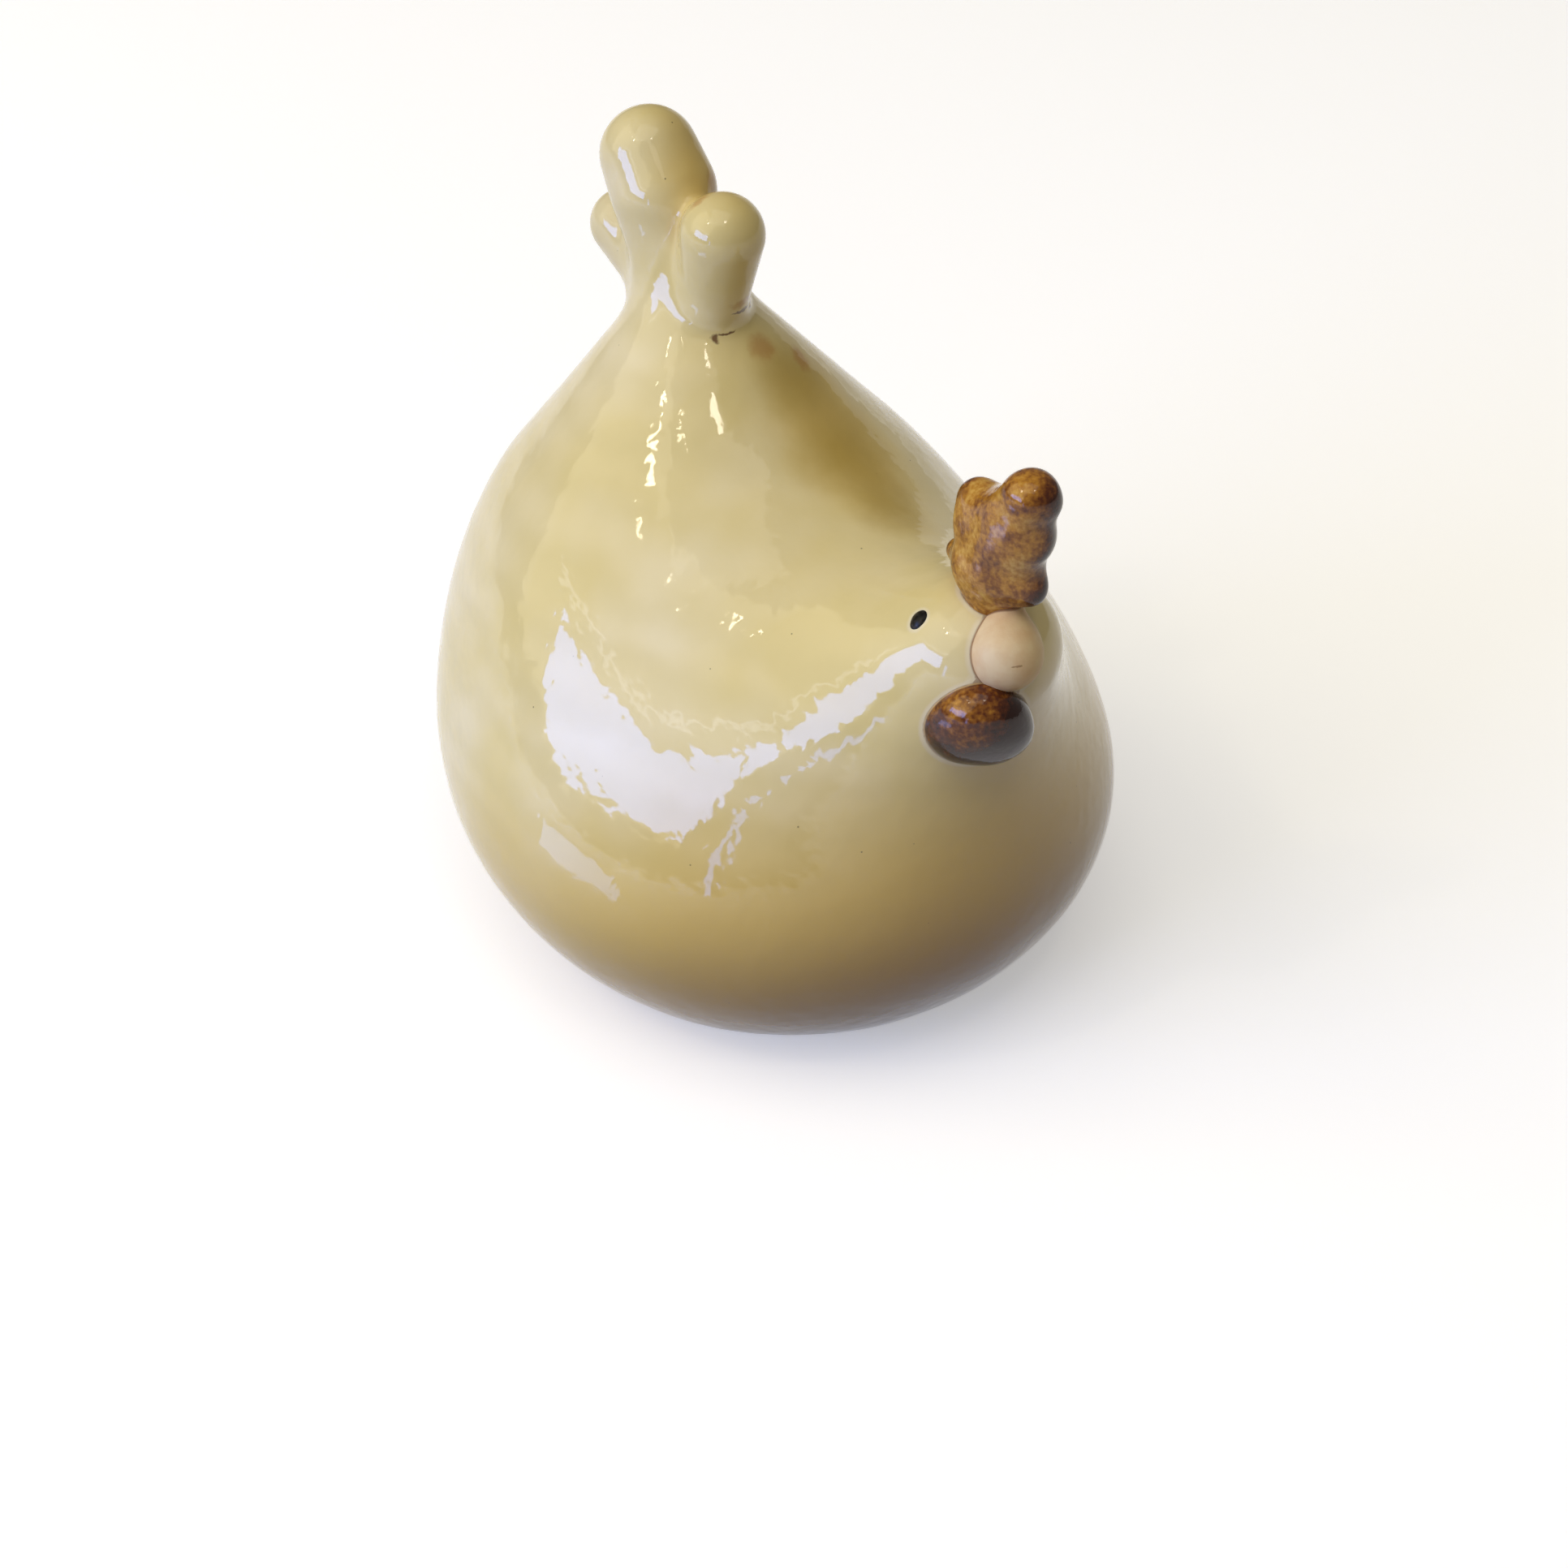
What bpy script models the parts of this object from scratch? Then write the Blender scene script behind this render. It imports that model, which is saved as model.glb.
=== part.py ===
"""Hen figurine in glazed earthenware, one fired piece.

The body is a hollow casting with a pour hole in its flat foot. The tail feathers, comb, beak, wattle
and eyes are solid clay or glaze that the firing fused to it. Every form starts as a field: a function
that is negative inside the clay, zero on its surface and positive outside it. Fields are joined by a
smooth union, which leaves the fillet that a damp finger leaves, and a skin is found by casting rays
outwards through them. The hen looks along -Y, and the origin is at the middle of its foot.
"""

from collections import namedtuple

import bpy
import numpy as np

MM = 0.001

# A ball of a chain: its lean back from upright in degrees, its distance from the chain's hub, its radius
Ball = namedtuple("Ball", "lean distance radius")

# Belly: a squat egg with its underside cut flat
BELLY_WIDTH = 117.2 * MM
BELLY_LENGTH = 130.0 * MM
BELLY_DEPTH = 72.2 * MM
FOOT_CUT = 4.75 * MM
FOOT_ROUND = 8.0 * MM

# Back: a cone that rises from the belly to the neck of the tail
BACK_RADIUS = 47.9 * MM
BACK_SETBACK = 18.7 * MM
BACK_RISE = 25.95 * MM
NECK_RADIUS = 4.6 * MM
NECK_SETBACK = 25.5 * MM
NECK_HEIGHT = 122.0 * MM
BACK_WELD = 29.0 * MM

# Head: a blunt cone that leans up and forward out of the breast
HEAD_ROOT_RADIUS = 40.2 * MM
HEAD_ROOT_REACH = 7.65 * MM
HEAD_ROOT_DROP = 0.75 * MM
HEAD_RADIUS = 13.7 * MM
HEAD_REACH = 54.8 * MM
HEAD_HEIGHT = 85.4 * MM
HEAD_BREADTH = 1.09
HEAD_WELD = 31.8 * MM
FACE_TURN = 14.0

# Casting: the wall, the pour hole and where the hollow stops under the neck
WALL = 5.0 * MM
FOOT_THICKNESS = 5.5 * MM
POUR_HOLE_DIAMETER = 17.0 * MM
SOLID_BELOW_NECK = 17.0 * MM
HOLLOW_ROUND = 12.0 * MM

# Tail: three feathers fanned fore and aft from a hub in the neck, each a chain of balls
TAIL_HUB_SHIFT = 1.5 * MM
TAIL_HUB_DROP = 1.0 * MM
NECK_WELD = 8.0 * MM
FEATHER_WELD = 4.0 * MM
MIDDLE_FEATHER = (
    Ball(180.0, 4.0 * MM, 6.8 * MM),
    Ball(21.0, 15.4 * MM, 9.6 * MM),
    Ball(26.0, 22.0 * MM, 8.9 * MM),
)
FRONT_FEATHER = (Ball(-85.0, 9.5 * MM, 6.2 * MM), Ball(-43.0, 17.3 * MM, 7.6 * MM))
REAR_FEATHER = (Ball(105.0, 9.0 * MM, 5.9 * MM), Ball(80.0, 18.4 * MM, 6.4 * MM))

# Comb: lobes fanned fore and aft from a hub on the crown, each a chain of balls
COMB_FORWARD = 3.6 * MM
COMB_WELD = 4.0 * MM
COMB_HEART = 7.0 * MM
MIDDLE_LOBE = (
    Ball(0.0, 0.0, 4.7 * MM),
    Ball(0.0, 6.4 * MM, 5.6 * MM),
    Ball(-18.0, 22.8 * MM, 5.1 * MM),
)
REAR_LOBE = (Ball(25.0, 7.0 * MM, 4.6 * MM), Ball(16.5, 16.4 * MM, 3.6 * MM))
LOBE_WEB = (Ball(15.0, 13.0 * MM, 3.8 * MM), Ball(-8.0, 16.0 * MM, 4.6 * MM))
FRONT_LOBE = (Ball(-20.0, 8.0 * MM, 4.5 * MM), Ball(-29.0, 15.8 * MM, 3.6 * MM))
LOWER_LOBE = (Ball(-30.0, 5.0 * MM, 4.2 * MM), Ball(-58.0, 9.8 * MM, 2.8 * MM))
REAR_SPUR = (Ball(30.0, 4.0 * MM, 4.4 * MM), Ball(68.0, 9.8 * MM, 2.0 * MM))

# Beak and wattle, each placed on the head by its turn from the face and its climb, in degrees
BEAK_RADIUS = 6.3 * MM
BEAK_TURN = 2.5
BEAK_CLIMB = 30.0
BEAK_SINK = 1.4 * MM
BEAK_BRIDGE_RADIUS = 2.2 * MM
BEAK_WELD = 3.0 * MM
WATTLE_WIDTH = 18.4 * MM
WATTLE_HEIGHT = 18.8 * MM
WATTLE_THICKNESS = 13.0 * MM
WATTLE_TAPER = 0.18
WATTLE_TURN = 24.0
WATTLE_CLIMB = -24.0
WATTLE_SINK = 0.6 * MM

# Eyes: dots of black glaze, one each side of the face
EYE_WIDTH = 3.5 * MM
EYE_HEIGHT = 4.2 * MM
EYE_PROUD = 0.45 * MM
EYE_SINK = 1.0 * MM
EYE_TURN = 90.0
EYE_CLIMB = 38.0

# How finely the skins are laid out. A body row is added for each spacing and for each turn of the skin.
BODY_COLUMNS = 64
BODY_ROWS = 36
BODY_TRIALS = 240
ROW_SPACING = 10.0 * MM
ROW_TURN = 12.0
ROW_BLENDS = 40
TAIL_ROWS = 20
HOLLOW_ROWS = 14
CROWD_TO_HEAD = 0.6
COMB_GRID = (22, 34)
BEAK_GRID = (14, 22)
WATTLE_GRID = (14, 22)
EYE_GRID = (8, 14)

# Rays that find a skin: how far they may go, in how many steps, and how often a step is halved
RAY_REACH = 160.0 * MM
RAY_STEPS = 80
RAY_HALVINGS = 24

# Colours in linear RGB, with each finish's roughness
CREAM_GLAZE = ("cream_glaze", (0.730, 0.631, 0.305), 0.08)
BROWN_GLAZE = ("brown_glaze", (0.147, 0.048, 0.012), 0.18)
PEACH_CLAY = ("peach_clay", (0.787, 0.539, 0.342), 0.55)
BLACK_GLAZE = ("black_glaze", (0.006, 0.006, 0.007), 0.12)

UP = np.array([0.0, 0.0, 1.0])
BELLY_CENTRE = np.array([0.0, 0.0, BELLY_DEPTH / 2 - FOOT_CUT])
BACK_CENTRE = BELLY_CENTRE + np.array([0.0, BACK_SETBACK, BACK_RISE])
NECK_TOP = np.array([0.0, NECK_SETBACK, NECK_HEIGHT])
HEAD_ROOT = BELLY_CENTRE + np.array([0.0, -HEAD_ROOT_REACH, -HEAD_ROOT_DROP])
HEAD_CENTRE = np.array([0.0, -HEAD_REACH, HEAD_HEIGHT])
TAIL_HUB = NECK_TOP + np.array([0.0, TAIL_HUB_SHIFT, -TAIL_HUB_DROP])


def smooth_union(first, second, weld):
    """Joins two fields with a fillet: where they differ by less than the weld, clay is added."""
    overlap = np.maximum(weld - np.abs(first - second), 0.0) / weld
    return np.minimum(first, second) - overlap**2 * weld / 4


def egg_field(points, centre, half_sizes):
    """An ellipsoid."""
    scaled = (points - centre) / half_sizes
    stretch = np.linalg.norm(scaled, axis=-1)
    slope = np.linalg.norm(scaled / half_sizes, axis=-1) + 1e-9
    return stretch * (stretch - 1.0) / slope


def roll_field(points, start, end, start_radius, end_radius):
    """A roll of clay: two balls of any radii and the cone that is tangent to both."""
    along = end - start
    length = np.linalg.norm(along)
    axis = along / length
    offset = points - start
    height = offset @ axis
    reach = np.linalg.norm(offset - height[..., None] * axis, axis=-1)
    taper = (start_radius - end_radius) / length
    flank = np.sqrt(1.0 - taper**2)
    foot = height * flank - reach * taper
    on_cone = reach * flank + height * taper - start_radius
    at_start = np.hypot(reach, height) - start_radius
    at_end = np.hypot(reach, height - length) - end_radius
    return np.where(foot < 0.0, at_start, np.where(foot > length * flank, at_end, on_cone))


def body_clay(points):
    """Belly, back and head in one smooth form."""
    half_sizes = np.array([BELLY_WIDTH, BELLY_LENGTH, BELLY_DEPTH]) / 2
    belly = egg_field(points, BELLY_CENTRE, half_sizes)
    back = roll_field(points, BACK_CENTRE, NECK_TOP, BACK_RADIUS, NECK_RADIUS)
    narrowed = points / np.array([HEAD_BREADTH, 1.0, 1.0])
    head = roll_field(narrowed, HEAD_ROOT, HEAD_CENTRE, HEAD_ROOT_RADIUS, HEAD_RADIUS)
    return smooth_union(smooth_union(belly, back, BACK_WELD), head, HEAD_WELD)


def leaning(lean):
    """The upward direction leant back by an angle in degrees."""
    tilt = np.radians(lean)
    return np.array([0.0, np.sin(tilt), np.cos(tilt)])


def chain_field(points, hub, balls):
    """Rolls from ball to ball of a chain."""
    centres = [hub + leaning(ball.lean) * ball.distance for ball in balls]
    rolls = [
        roll_field(points, centres[i], centres[i + 1], balls[i].radius, balls[i + 1].radius)
        for i in range(len(balls) - 1)
    ]
    return np.minimum.reduce(rolls)


def tail_clay(points):
    """The body with the feathers growing out of its neck."""
    neck = smooth_union(body_clay(points), chain_field(points, TAIL_HUB, MIDDLE_FEATHER), NECK_WELD)
    front = chain_field(points, TAIL_HUB, FRONT_FEATHER)
    rear = chain_field(points, TAIL_HUB, REAR_FEATHER)
    return smooth_union(smooth_union(neck, rear, FEATHER_WELD), front, FEATHER_WELD)


def casting_clay(points):
    """The body and tail, with the foot cut flat at the floor and its edge rounded."""
    return -smooth_union(-tail_clay(points), points[..., 2], FOOT_ROUND)


def hollow_clay(points):
    """The space inside the casting: a wall's thickness in, above the foot and below the neck."""
    inside = body_clay(points) + WALL
    ceiling = points[..., 2] - (NECK_HEIGHT - SOLID_BELOW_NECK)
    rounded = -smooth_union(-inside, -ceiling, HOLLOW_ROUND)
    return np.maximum(rounded, FOOT_THICKNESS - points[..., 2])


def rounding_start(points):
    """Where the foot's rounding begins on the floor."""
    return body_clay(points) + FOOT_ROUND


def cast(field, origins, directions):
    """Where rays from inside a field first leave it: coarse steps, then halving."""
    reach = np.linspace(0.0, RAY_REACH, RAY_STEPS + 1)
    origins = np.broadcast_to(origins, directions.shape)
    samples = origins[..., None, :] + directions[..., None, :] * reach[:, None]
    outside = field(samples) > 0.0
    first = np.argmax(outside, axis=-1)
    near, far = reach[first - 1], reach[first]
    for _ in range(RAY_HALVINGS):
        middle = (near + far) / 2
        out = field(origins + directions * middle[..., None]) > 0.0
        near, far = np.where(out, near, middle), np.where(out, middle, far)
    return origins + directions * far[..., None]


def columns_round(count):
    """Angles round the body from the front, crowded towards the head."""
    even = np.arange(count) * 2 * np.pi / count
    return even - CROWD_TO_HEAD * np.sin(even)


def ring_directions(angles, axis):
    """Unit vectors round an axis, starting at the front for an axis that has no sideways lean."""
    sideways = np.array([1.0, 0.0, 0.0])
    first = np.cross(sideways if abs(axis[0]) < 0.7 else UP, axis)
    first = first / np.linalg.norm(first)
    second = np.cross(axis, first)
    return np.cos(angles)[:, None] * first + np.sin(angles)[:, None] * second


def turned_between(first, second, share):
    """Unit vectors part of the way from one set of directions to another, along great circles."""
    first = first / np.linalg.norm(first, axis=-1, keepdims=True)
    second = second / np.linalg.norm(second, axis=-1, keepdims=True)
    angle = np.arccos(np.clip((first * second).sum(-1, keepdims=True), -1.0, 1.0))
    return (np.sin((1 - share) * angle) * first + np.sin(share * angle) * second) / np.sin(angle)


def even_shares(tracks):
    """Where rows fall along each column, from a fine trial of the skin: crowded where it bends.

    Neighbouring columns are blended, so that a row stays nearly level round the body.
    """
    steps = np.diff(tracks, axis=0)
    lengths = np.linalg.norm(steps, axis=-1)
    ways = steps / lengths[..., None]
    turns = np.degrees(np.arccos(np.clip((ways[1:] * ways[:-1]).sum(-1), -1.0, 1.0)))
    effort = lengths / ROW_SPACING
    effort[1:] += turns / ROW_TURN
    for _ in range(ROW_BLENDS):
        effort = (np.roll(effort, 1, axis=1) + 2 * effort + np.roll(effort, -1, axis=1)) / 4
    travelled = np.concatenate([np.zeros_like(effort[:1]), np.cumsum(effort, axis=0)])
    trials = np.linspace(0.0, 1.0, len(tracks))
    shares = [
        np.interp(np.linspace(0.0, column[-1], BODY_ROWS + 1), column, trials)
        for column in travelled.T
    ]
    return np.transpose(shares)[..., None]


def material(name, colour, roughness):
    """A Principled BSDF finish, made once."""
    finish = bpy.data.materials.get(name) or bpy.data.materials.new(name)
    finish.use_nodes = True
    shader = finish.node_tree.nodes["Principled BSDF"]
    shader.inputs["Base Color"].default_value = (*colour, 1.0)
    shader.inputs["Roughness"].default_value = roughness
    shader.inputs["Metallic"].default_value = 0.0
    return finish


class Skin:
    """Rings of points that faces join one to the next."""

    def __init__(self):
        self.points = []
        self.faces = []

    def add(self, ring):
        """Adds a ring, or a single point for a pole, and returns its point numbers."""
        ring = np.atleast_2d(ring)
        start = len(self.points)
        self.points.extend(map(tuple, ring))
        return list(range(start, start + len(ring)))

    def join(self, lower, upper):
        """Faces between two rings: quads, a fan to a pole, or threes where the count halves."""
        count = len(lower)
        for i in range(count):
            here, after = lower[i], lower[(i + 1) % count]
            if len(upper) == 1:
                self.faces.append((here, after, upper[0]))
            elif len(upper) == count:
                self.faces.append((here, after, upper[(i + 1) % count], upper[i]))
            elif i % 2 == 0:
                self.faces.append((here, after, upper[i // 2]))
                following = upper[(i // 2 + 1) % len(upper)]
                self.faces.append((after, following, upper[i // 2]))
                self.faces.append((after, lower[(i + 2) % count], following))

    def join_all(self, rings, inwards=False):
        """Faces along a run of rings, turned round where the surface lines a hollow."""
        start = len(self.faces)
        for lower, upper in zip(rings, rings[1:]):
            self.join(lower, upper)
        if inwards:
            self.faces[start:] = [tuple(reversed(face)) for face in self.faces[start:]]

    def make(self, name, finish):
        """The finished mesh object, shaded smooth, with its finish."""
        mesh = bpy.data.meshes.new(name)
        mesh.from_pydata(self.points, [], self.faces)
        mesh.materials.append(material(*finish))
        mesh.shade_smooth()
        thing = bpy.data.objects.new(name, mesh)
        bpy.context.collection.objects.link(thing)
        return thing


def cast_body():
    """Foot, outer skin, tail and hollow of the casting, in one closed surface."""
    skin = Skin()
    angles = columns_round(BODY_COLUMNS)
    outwards = ring_directions(angles, UP)
    centre = BELLY_CENTRE + UP * BACK_RISE / 2

    # Foot: the pour hole's rim and the flat ring round it
    hole = POUR_HOLE_DIAMETER / 2 * outwards
    edge = cast(rounding_start, np.zeros(3), outwards)
    rings = [skin.add(hole), skin.add(edge)]

    # Body: rows turned from the foot's edge up to a collar round the neck
    collar_centre = NECK_TOP - UP * SOLID_BELOW_NECK
    collar = cast(tail_clay, collar_centre, outwards)
    trials = np.linspace(0.0, 1.0, BODY_TRIALS + 1)[:, None, None]
    tracks = cast(casting_clay, centre, turned_between(edge - centre, collar - centre, trials))
    for share in even_shares(tracks)[1:-1]:
        directions = turned_between(edge - centre, collar - centre, share)
        rings.append(skin.add(cast(casting_clay, centre, directions)))
    rings.append(skin.add(collar))

    # Tail: rows turned from the collar up to the tip of the middle feather
    spine = leaning(MIDDLE_FEATHER[-1].lean)
    for row in range(1, TAIL_ROWS):
        directions = turned_between(collar - TAIL_HUB, spine[None, :], row / TAIL_ROWS)
        rings.append(skin.add(cast(tail_clay, TAIL_HUB, directions)))
    rings.append(skin.add(cast(tail_clay, TAIL_HUB, spine[None, :])))
    skin.join_all(rings)

    # Hollow: the pour hole's inner rim, then rows up to its crown
    inner = skin.add(hole + UP * FOOT_THICKNESS)
    skin.join(inner, rings[0])
    narrow = POUR_HOLE_DIAMETER / 2 * ring_directions(angles[::2], UP) + UP * FOOT_THICKNESS
    hollow = [inner]
    for row in range(1, HOLLOW_ROWS):
        directions = turned_between(narrow - centre, UP[None, :], row / HOLLOW_ROWS)
        hollow.append(skin.add(cast(hollow_clay, centre, directions)))
    hollow.append(skin.add(cast(hollow_clay, centre, UP[None, :])))
    skin.join_all(hollow, inwards=True)
    return skin.make("hen", CREAM_GLAZE)


def lump(name, field, centre, axis, grid, finish):
    """A closed skin round a field, cast from its centre in rows and columns about an axis.

    Its columns stand half a step off the middle plane, so that no edge lies along one of the body's.
    """
    rows, columns = grid
    skin = Skin()
    axis = axis / np.linalg.norm(axis)
    around = ring_directions((np.arange(columns) + 0.5) * 2 * np.pi / columns, axis)
    pole = skin.add(cast(field, centre, -axis[None, :]))
    rings = []
    for row in range(1, rows):
        climb = np.pi * (row / rows - 0.5)
        rings.append(skin.add(cast(field, centre, np.cos(climb) * around + np.sin(climb) * axis)))
    rings.append(skin.add(cast(field, centre, axis[None, :])))
    skin.join_all(rings)
    skin.join_all([rings[0], pole], inwards=True)
    return skin.make(name, finish)


def on_head(turn, climb):
    """A point on the head's surface and the way out there, by its turn from the face and its climb."""
    spin, rise = np.radians(FACE_TURN + turn), np.radians(climb)
    way = np.array([-np.sin(spin) * np.cos(rise), -np.cos(spin) * np.cos(rise), np.sin(rise)])
    return cast(body_clay, HEAD_CENTRE, way[None, :])[0], way


def comb_hub():
    """The point on the crown that the comb's lobes fan out from."""
    over_crown = HEAD_CENTRE - np.array([0.0, COMB_FORWARD, 0.0])
    return cast(body_clay, over_crown, UP[None, :])[0]


def comb():
    """The comb, pinched into lobes and pressed on the crown."""
    hub = comb_hub()

    def field(points):
        joined = chain_field(points, hub, MIDDLE_LOBE)
        for lobe in (REAR_LOBE, LOBE_WEB, FRONT_LOBE, LOWER_LOBE, REAR_SPUR):
            joined = smooth_union(joined, chain_field(points, hub, lobe), COMB_WELD)
        return joined

    upwards = leaning(MIDDLE_LOBE[-1].lean)
    return lump("comb", field, hub + UP * COMB_HEART, upwards, COMB_GRID, BROWN_GLAZE)


def beak():
    """The beak: a ball with a short bridge up to the front of the comb."""
    seat, way = on_head(BEAK_TURN, BEAK_CLIMB)
    middle = seat - way * BEAK_SINK
    bridge_end = comb_hub() - np.array([0.0, COMB_FORWARD, 0.0])

    def field(points):
        ball = np.linalg.norm(points - middle, axis=-1) - BEAK_RADIUS
        bridge = roll_field(points, middle, bridge_end, BEAK_BRIDGE_RADIUS * 2, BEAK_BRIDGE_RADIUS)
        return smooth_union(ball, bridge, BEAK_WELD)

    return lump("beak", field, middle, bridge_end - middle, BEAK_GRID, PEACH_CLAY)


def wattle():
    """The wattle: a flattened bean pressed on under the beak, broader below."""
    seat, way = on_head(WATTLE_TURN, WATTLE_CLIMB)
    middle = seat - way * WATTLE_SINK
    side = np.cross(way, UP)
    side = side / np.linalg.norm(side)
    frame = np.array([side, way, np.cross(side, way)])

    def field(points):
        local = (points - middle) @ frame.T
        half_sizes = np.array([WATTLE_WIDTH, WATTLE_THICKNESS, WATTLE_HEIGHT]) / 2
        breadth = 1.0 - WATTLE_TAPER * np.clip(local[..., 2] / half_sizes[2], -1.0, 1.0)
        local[..., 0] = local[..., 0] / breadth
        return egg_field(local, np.zeros(3), half_sizes)

    return lump("wattle", field, middle, side, WATTLE_GRID, BROWN_GLAZE)


def eye(name, turn):
    """A dot of black glaze that stands a little proud of the head."""
    seat, way = on_head(turn, EYE_CLIMB)
    side = np.cross(way, UP)
    side = side / np.linalg.norm(side)
    frame = np.array([side, way, np.cross(side, way)])
    depth = EYE_PROUD + EYE_SINK
    middle = seat - way * EYE_SINK

    def field(points):
        local = (points - middle) @ frame.T
        half_sizes = np.array([EYE_WIDTH / 2, depth, EYE_HEIGHT / 2])
        return egg_field(local, np.zeros(3), half_sizes)

    return lump(name, field, middle, way, EYE_GRID, BLACK_GLAZE)


def fuse(body, pieces):
    """Joins the pieces to the body, each with its own finish."""
    for piece in pieces:
        piece.hide_render = True
        piece.display_type = "WIRE"
        union = body.modifiers.new("fuse_" + piece.name, "BOOLEAN")
        union.operation = "UNION"
        union.solver = "EXACT"
        union.material_mode = "TRANSFER"
        union.object = piece


def main():
    """Clears the scene and models the hen."""
    for thing in list(bpy.data.objects):
        bpy.data.objects.remove(thing, do_unlink=True)
    hen = cast_body()
    pieces = [
        beak(),
        comb(),
        wattle(),
        eye("right_eye", EYE_TURN),
        eye("left_eye", -EYE_TURN),
    ]
    fuse(hen, pieces)


main()
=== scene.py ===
"""Hen figurine in glazed earthenware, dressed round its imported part.

The clay is described by fields: functions that are negative inside the clay, zero on its surface and
positive outside it. Each skin is a grid of rays, by row and column, followed outwards to the surface.
"""

import logging
from collections.abc import Callable
from dataclasses import dataclass, field
from enum import Enum
from functools import cached_property

import bpy
import numpy as np
from mathutils import Matrix


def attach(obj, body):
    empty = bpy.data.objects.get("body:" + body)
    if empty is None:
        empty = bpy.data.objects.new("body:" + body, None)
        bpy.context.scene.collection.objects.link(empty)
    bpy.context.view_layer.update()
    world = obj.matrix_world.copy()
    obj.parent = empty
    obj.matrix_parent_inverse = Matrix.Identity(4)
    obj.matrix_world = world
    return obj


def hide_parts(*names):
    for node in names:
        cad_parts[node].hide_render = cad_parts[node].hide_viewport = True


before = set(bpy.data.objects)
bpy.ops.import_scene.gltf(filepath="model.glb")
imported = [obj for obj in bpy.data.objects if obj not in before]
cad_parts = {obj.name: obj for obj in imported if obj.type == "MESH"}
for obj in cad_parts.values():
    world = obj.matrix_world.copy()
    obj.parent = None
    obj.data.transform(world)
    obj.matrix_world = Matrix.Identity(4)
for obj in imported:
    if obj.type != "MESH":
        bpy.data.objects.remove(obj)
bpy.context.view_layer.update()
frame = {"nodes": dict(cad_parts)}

MM = 0.001
BODY = "root"
NODE = "hen"
UP = np.array([0.0, 0.0, 1.0])
LOG = logging.getLogger("hen")

# Glaze colours that more than one finish or coat shares
GOLDEN = "#D9B960"
# Amber for the runs, and for the crease coat, which is partly painted crease shade
AMBER_STAIN_AND_SHADE = "#B07020"
HALO = "#F0E8D2"
BROWN_LINE = "#8A5A30"

Field = Callable[[np.ndarray], np.ndarray]
Tree = bpy.types.NodeTree
Socket = bpy.types.NodeSocket


def at(x: float, y: float, z: float) -> np.ndarray:
    """A point given in millimetres, in metres."""
    return np.array([x, y, z]) * MM


def unit(vectors: np.ndarray) -> np.ndarray:
    """The same directions at length one."""
    return vectors / np.linalg.norm(vectors, axis=-1, keepdims=True)


def smooth_union(first: np.ndarray, second: np.ndarray, weld: float) -> np.ndarray:
    """Joins two fields with a fillet: the lesser of the two, less a quarter of the weld times the square
    of how far they overlap within it.

    Args:
        first: Values of one field.
        second: Values of the other.
        weld: The difference within which clay is added, in metres.

    Returns:
        The joined field's values.
    """
    overlap = np.maximum(weld - np.abs(first - second), 0.0) / weld
    return np.minimum(first, second) - overlap**2 * weld / 4


@dataclass(frozen=True)
class Egg:
    """An ellipsoid, whose own axes are the rows of its frame. A taper makes it broader below than above."""

    centre: np.ndarray
    half_sizes: np.ndarray
    frame: np.ndarray = field(default_factory=lambda: np.eye(3))
    taper: float = 0.0

    def __call__(self, points: np.ndarray) -> np.ndarray:
        """Its field: with q the point over the half sizes, |q| (|q| - 1) over q's length over them again.

        Args:
            points: Places, in metres.

        Returns:
            The field's value at each place.
        """
        scaled = (points - self.centre) @ self.frame.T / self.half_sizes
        scaled[..., 0] /= 1.0 - self.taper * np.clip(scaled[..., 2], -1.0, 1.0)
        stretch = np.linalg.norm(scaled, axis=-1)
        slope = np.linalg.norm(scaled / self.half_sizes, axis=-1) + 1e-9
        return stretch * (stretch - 1.0) / slope


@dataclass(frozen=True)
class Roll:
    """A roll of clay: two balls of any radii and the cone that touches both."""

    start: np.ndarray
    end: np.ndarray
    start_radius: float
    end_radius: float

    def __call__(self, points: np.ndarray) -> np.ndarray:
        """Its field: the distance from the cone's side between the rings where it meets the balls, and from
        a ball past them.

        Args:
            points: Places, in metres.

        Returns:
            The field's value at each place.
        """
        along = self.end - self.start
        length = float(np.linalg.norm(along))
        axis = along / length
        offset = points - self.start
        height = offset @ axis
        reach = np.sqrt(np.maximum((offset**2).sum(-1) - height**2, 0.0))
        taper = (self.start_radius - self.end_radius) / length
        flank = float(np.sqrt(1.0 - taper**2))
        foot = height * flank - reach * taper
        on_cone = reach * flank + height * taper - self.start_radius
        at_start = np.hypot(reach, height) - self.start_radius
        at_end = np.hypot(reach, height - length) - self.end_radius
        return np.where(foot < 0.0, at_start, np.where(foot > length * flank, at_end, on_cone))


@dataclass(frozen=True)
class Ball:
    """A ball of a chain: its lean back from upright in degrees, its distance from the hub and its radius."""

    lean: float
    distance: float
    radius: float


@dataclass(frozen=True)
class Chain:
    """Rolls from ball to ball, fanned in the hen's middle plane from a hub."""

    hub: np.ndarray
    balls: tuple[Ball, ...]

    def __call__(self, points: np.ndarray) -> np.ndarray:
        """Its field: the least of its rolls'.

        Args:
            points: Places, in metres.

        Returns:
            The field's value at each place.
        """
        centres = [self.hub + leaning(ball.lean) * ball.distance * MM for ball in self.balls]
        radii = [ball.radius * MM for ball in self.balls]
        rolls = [
            Roll(centres[i], centres[i + 1], radii[i], radii[i + 1])(points)
            for i in range(len(centres) - 1)
        ]
        return np.minimum.reduce(rolls)


def leaning(lean: float) -> np.ndarray:
    """The upward direction leant back by an angle in degrees."""
    tilt = np.radians(lean)
    return np.array([0.0, np.sin(tilt), np.cos(tilt)])


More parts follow.
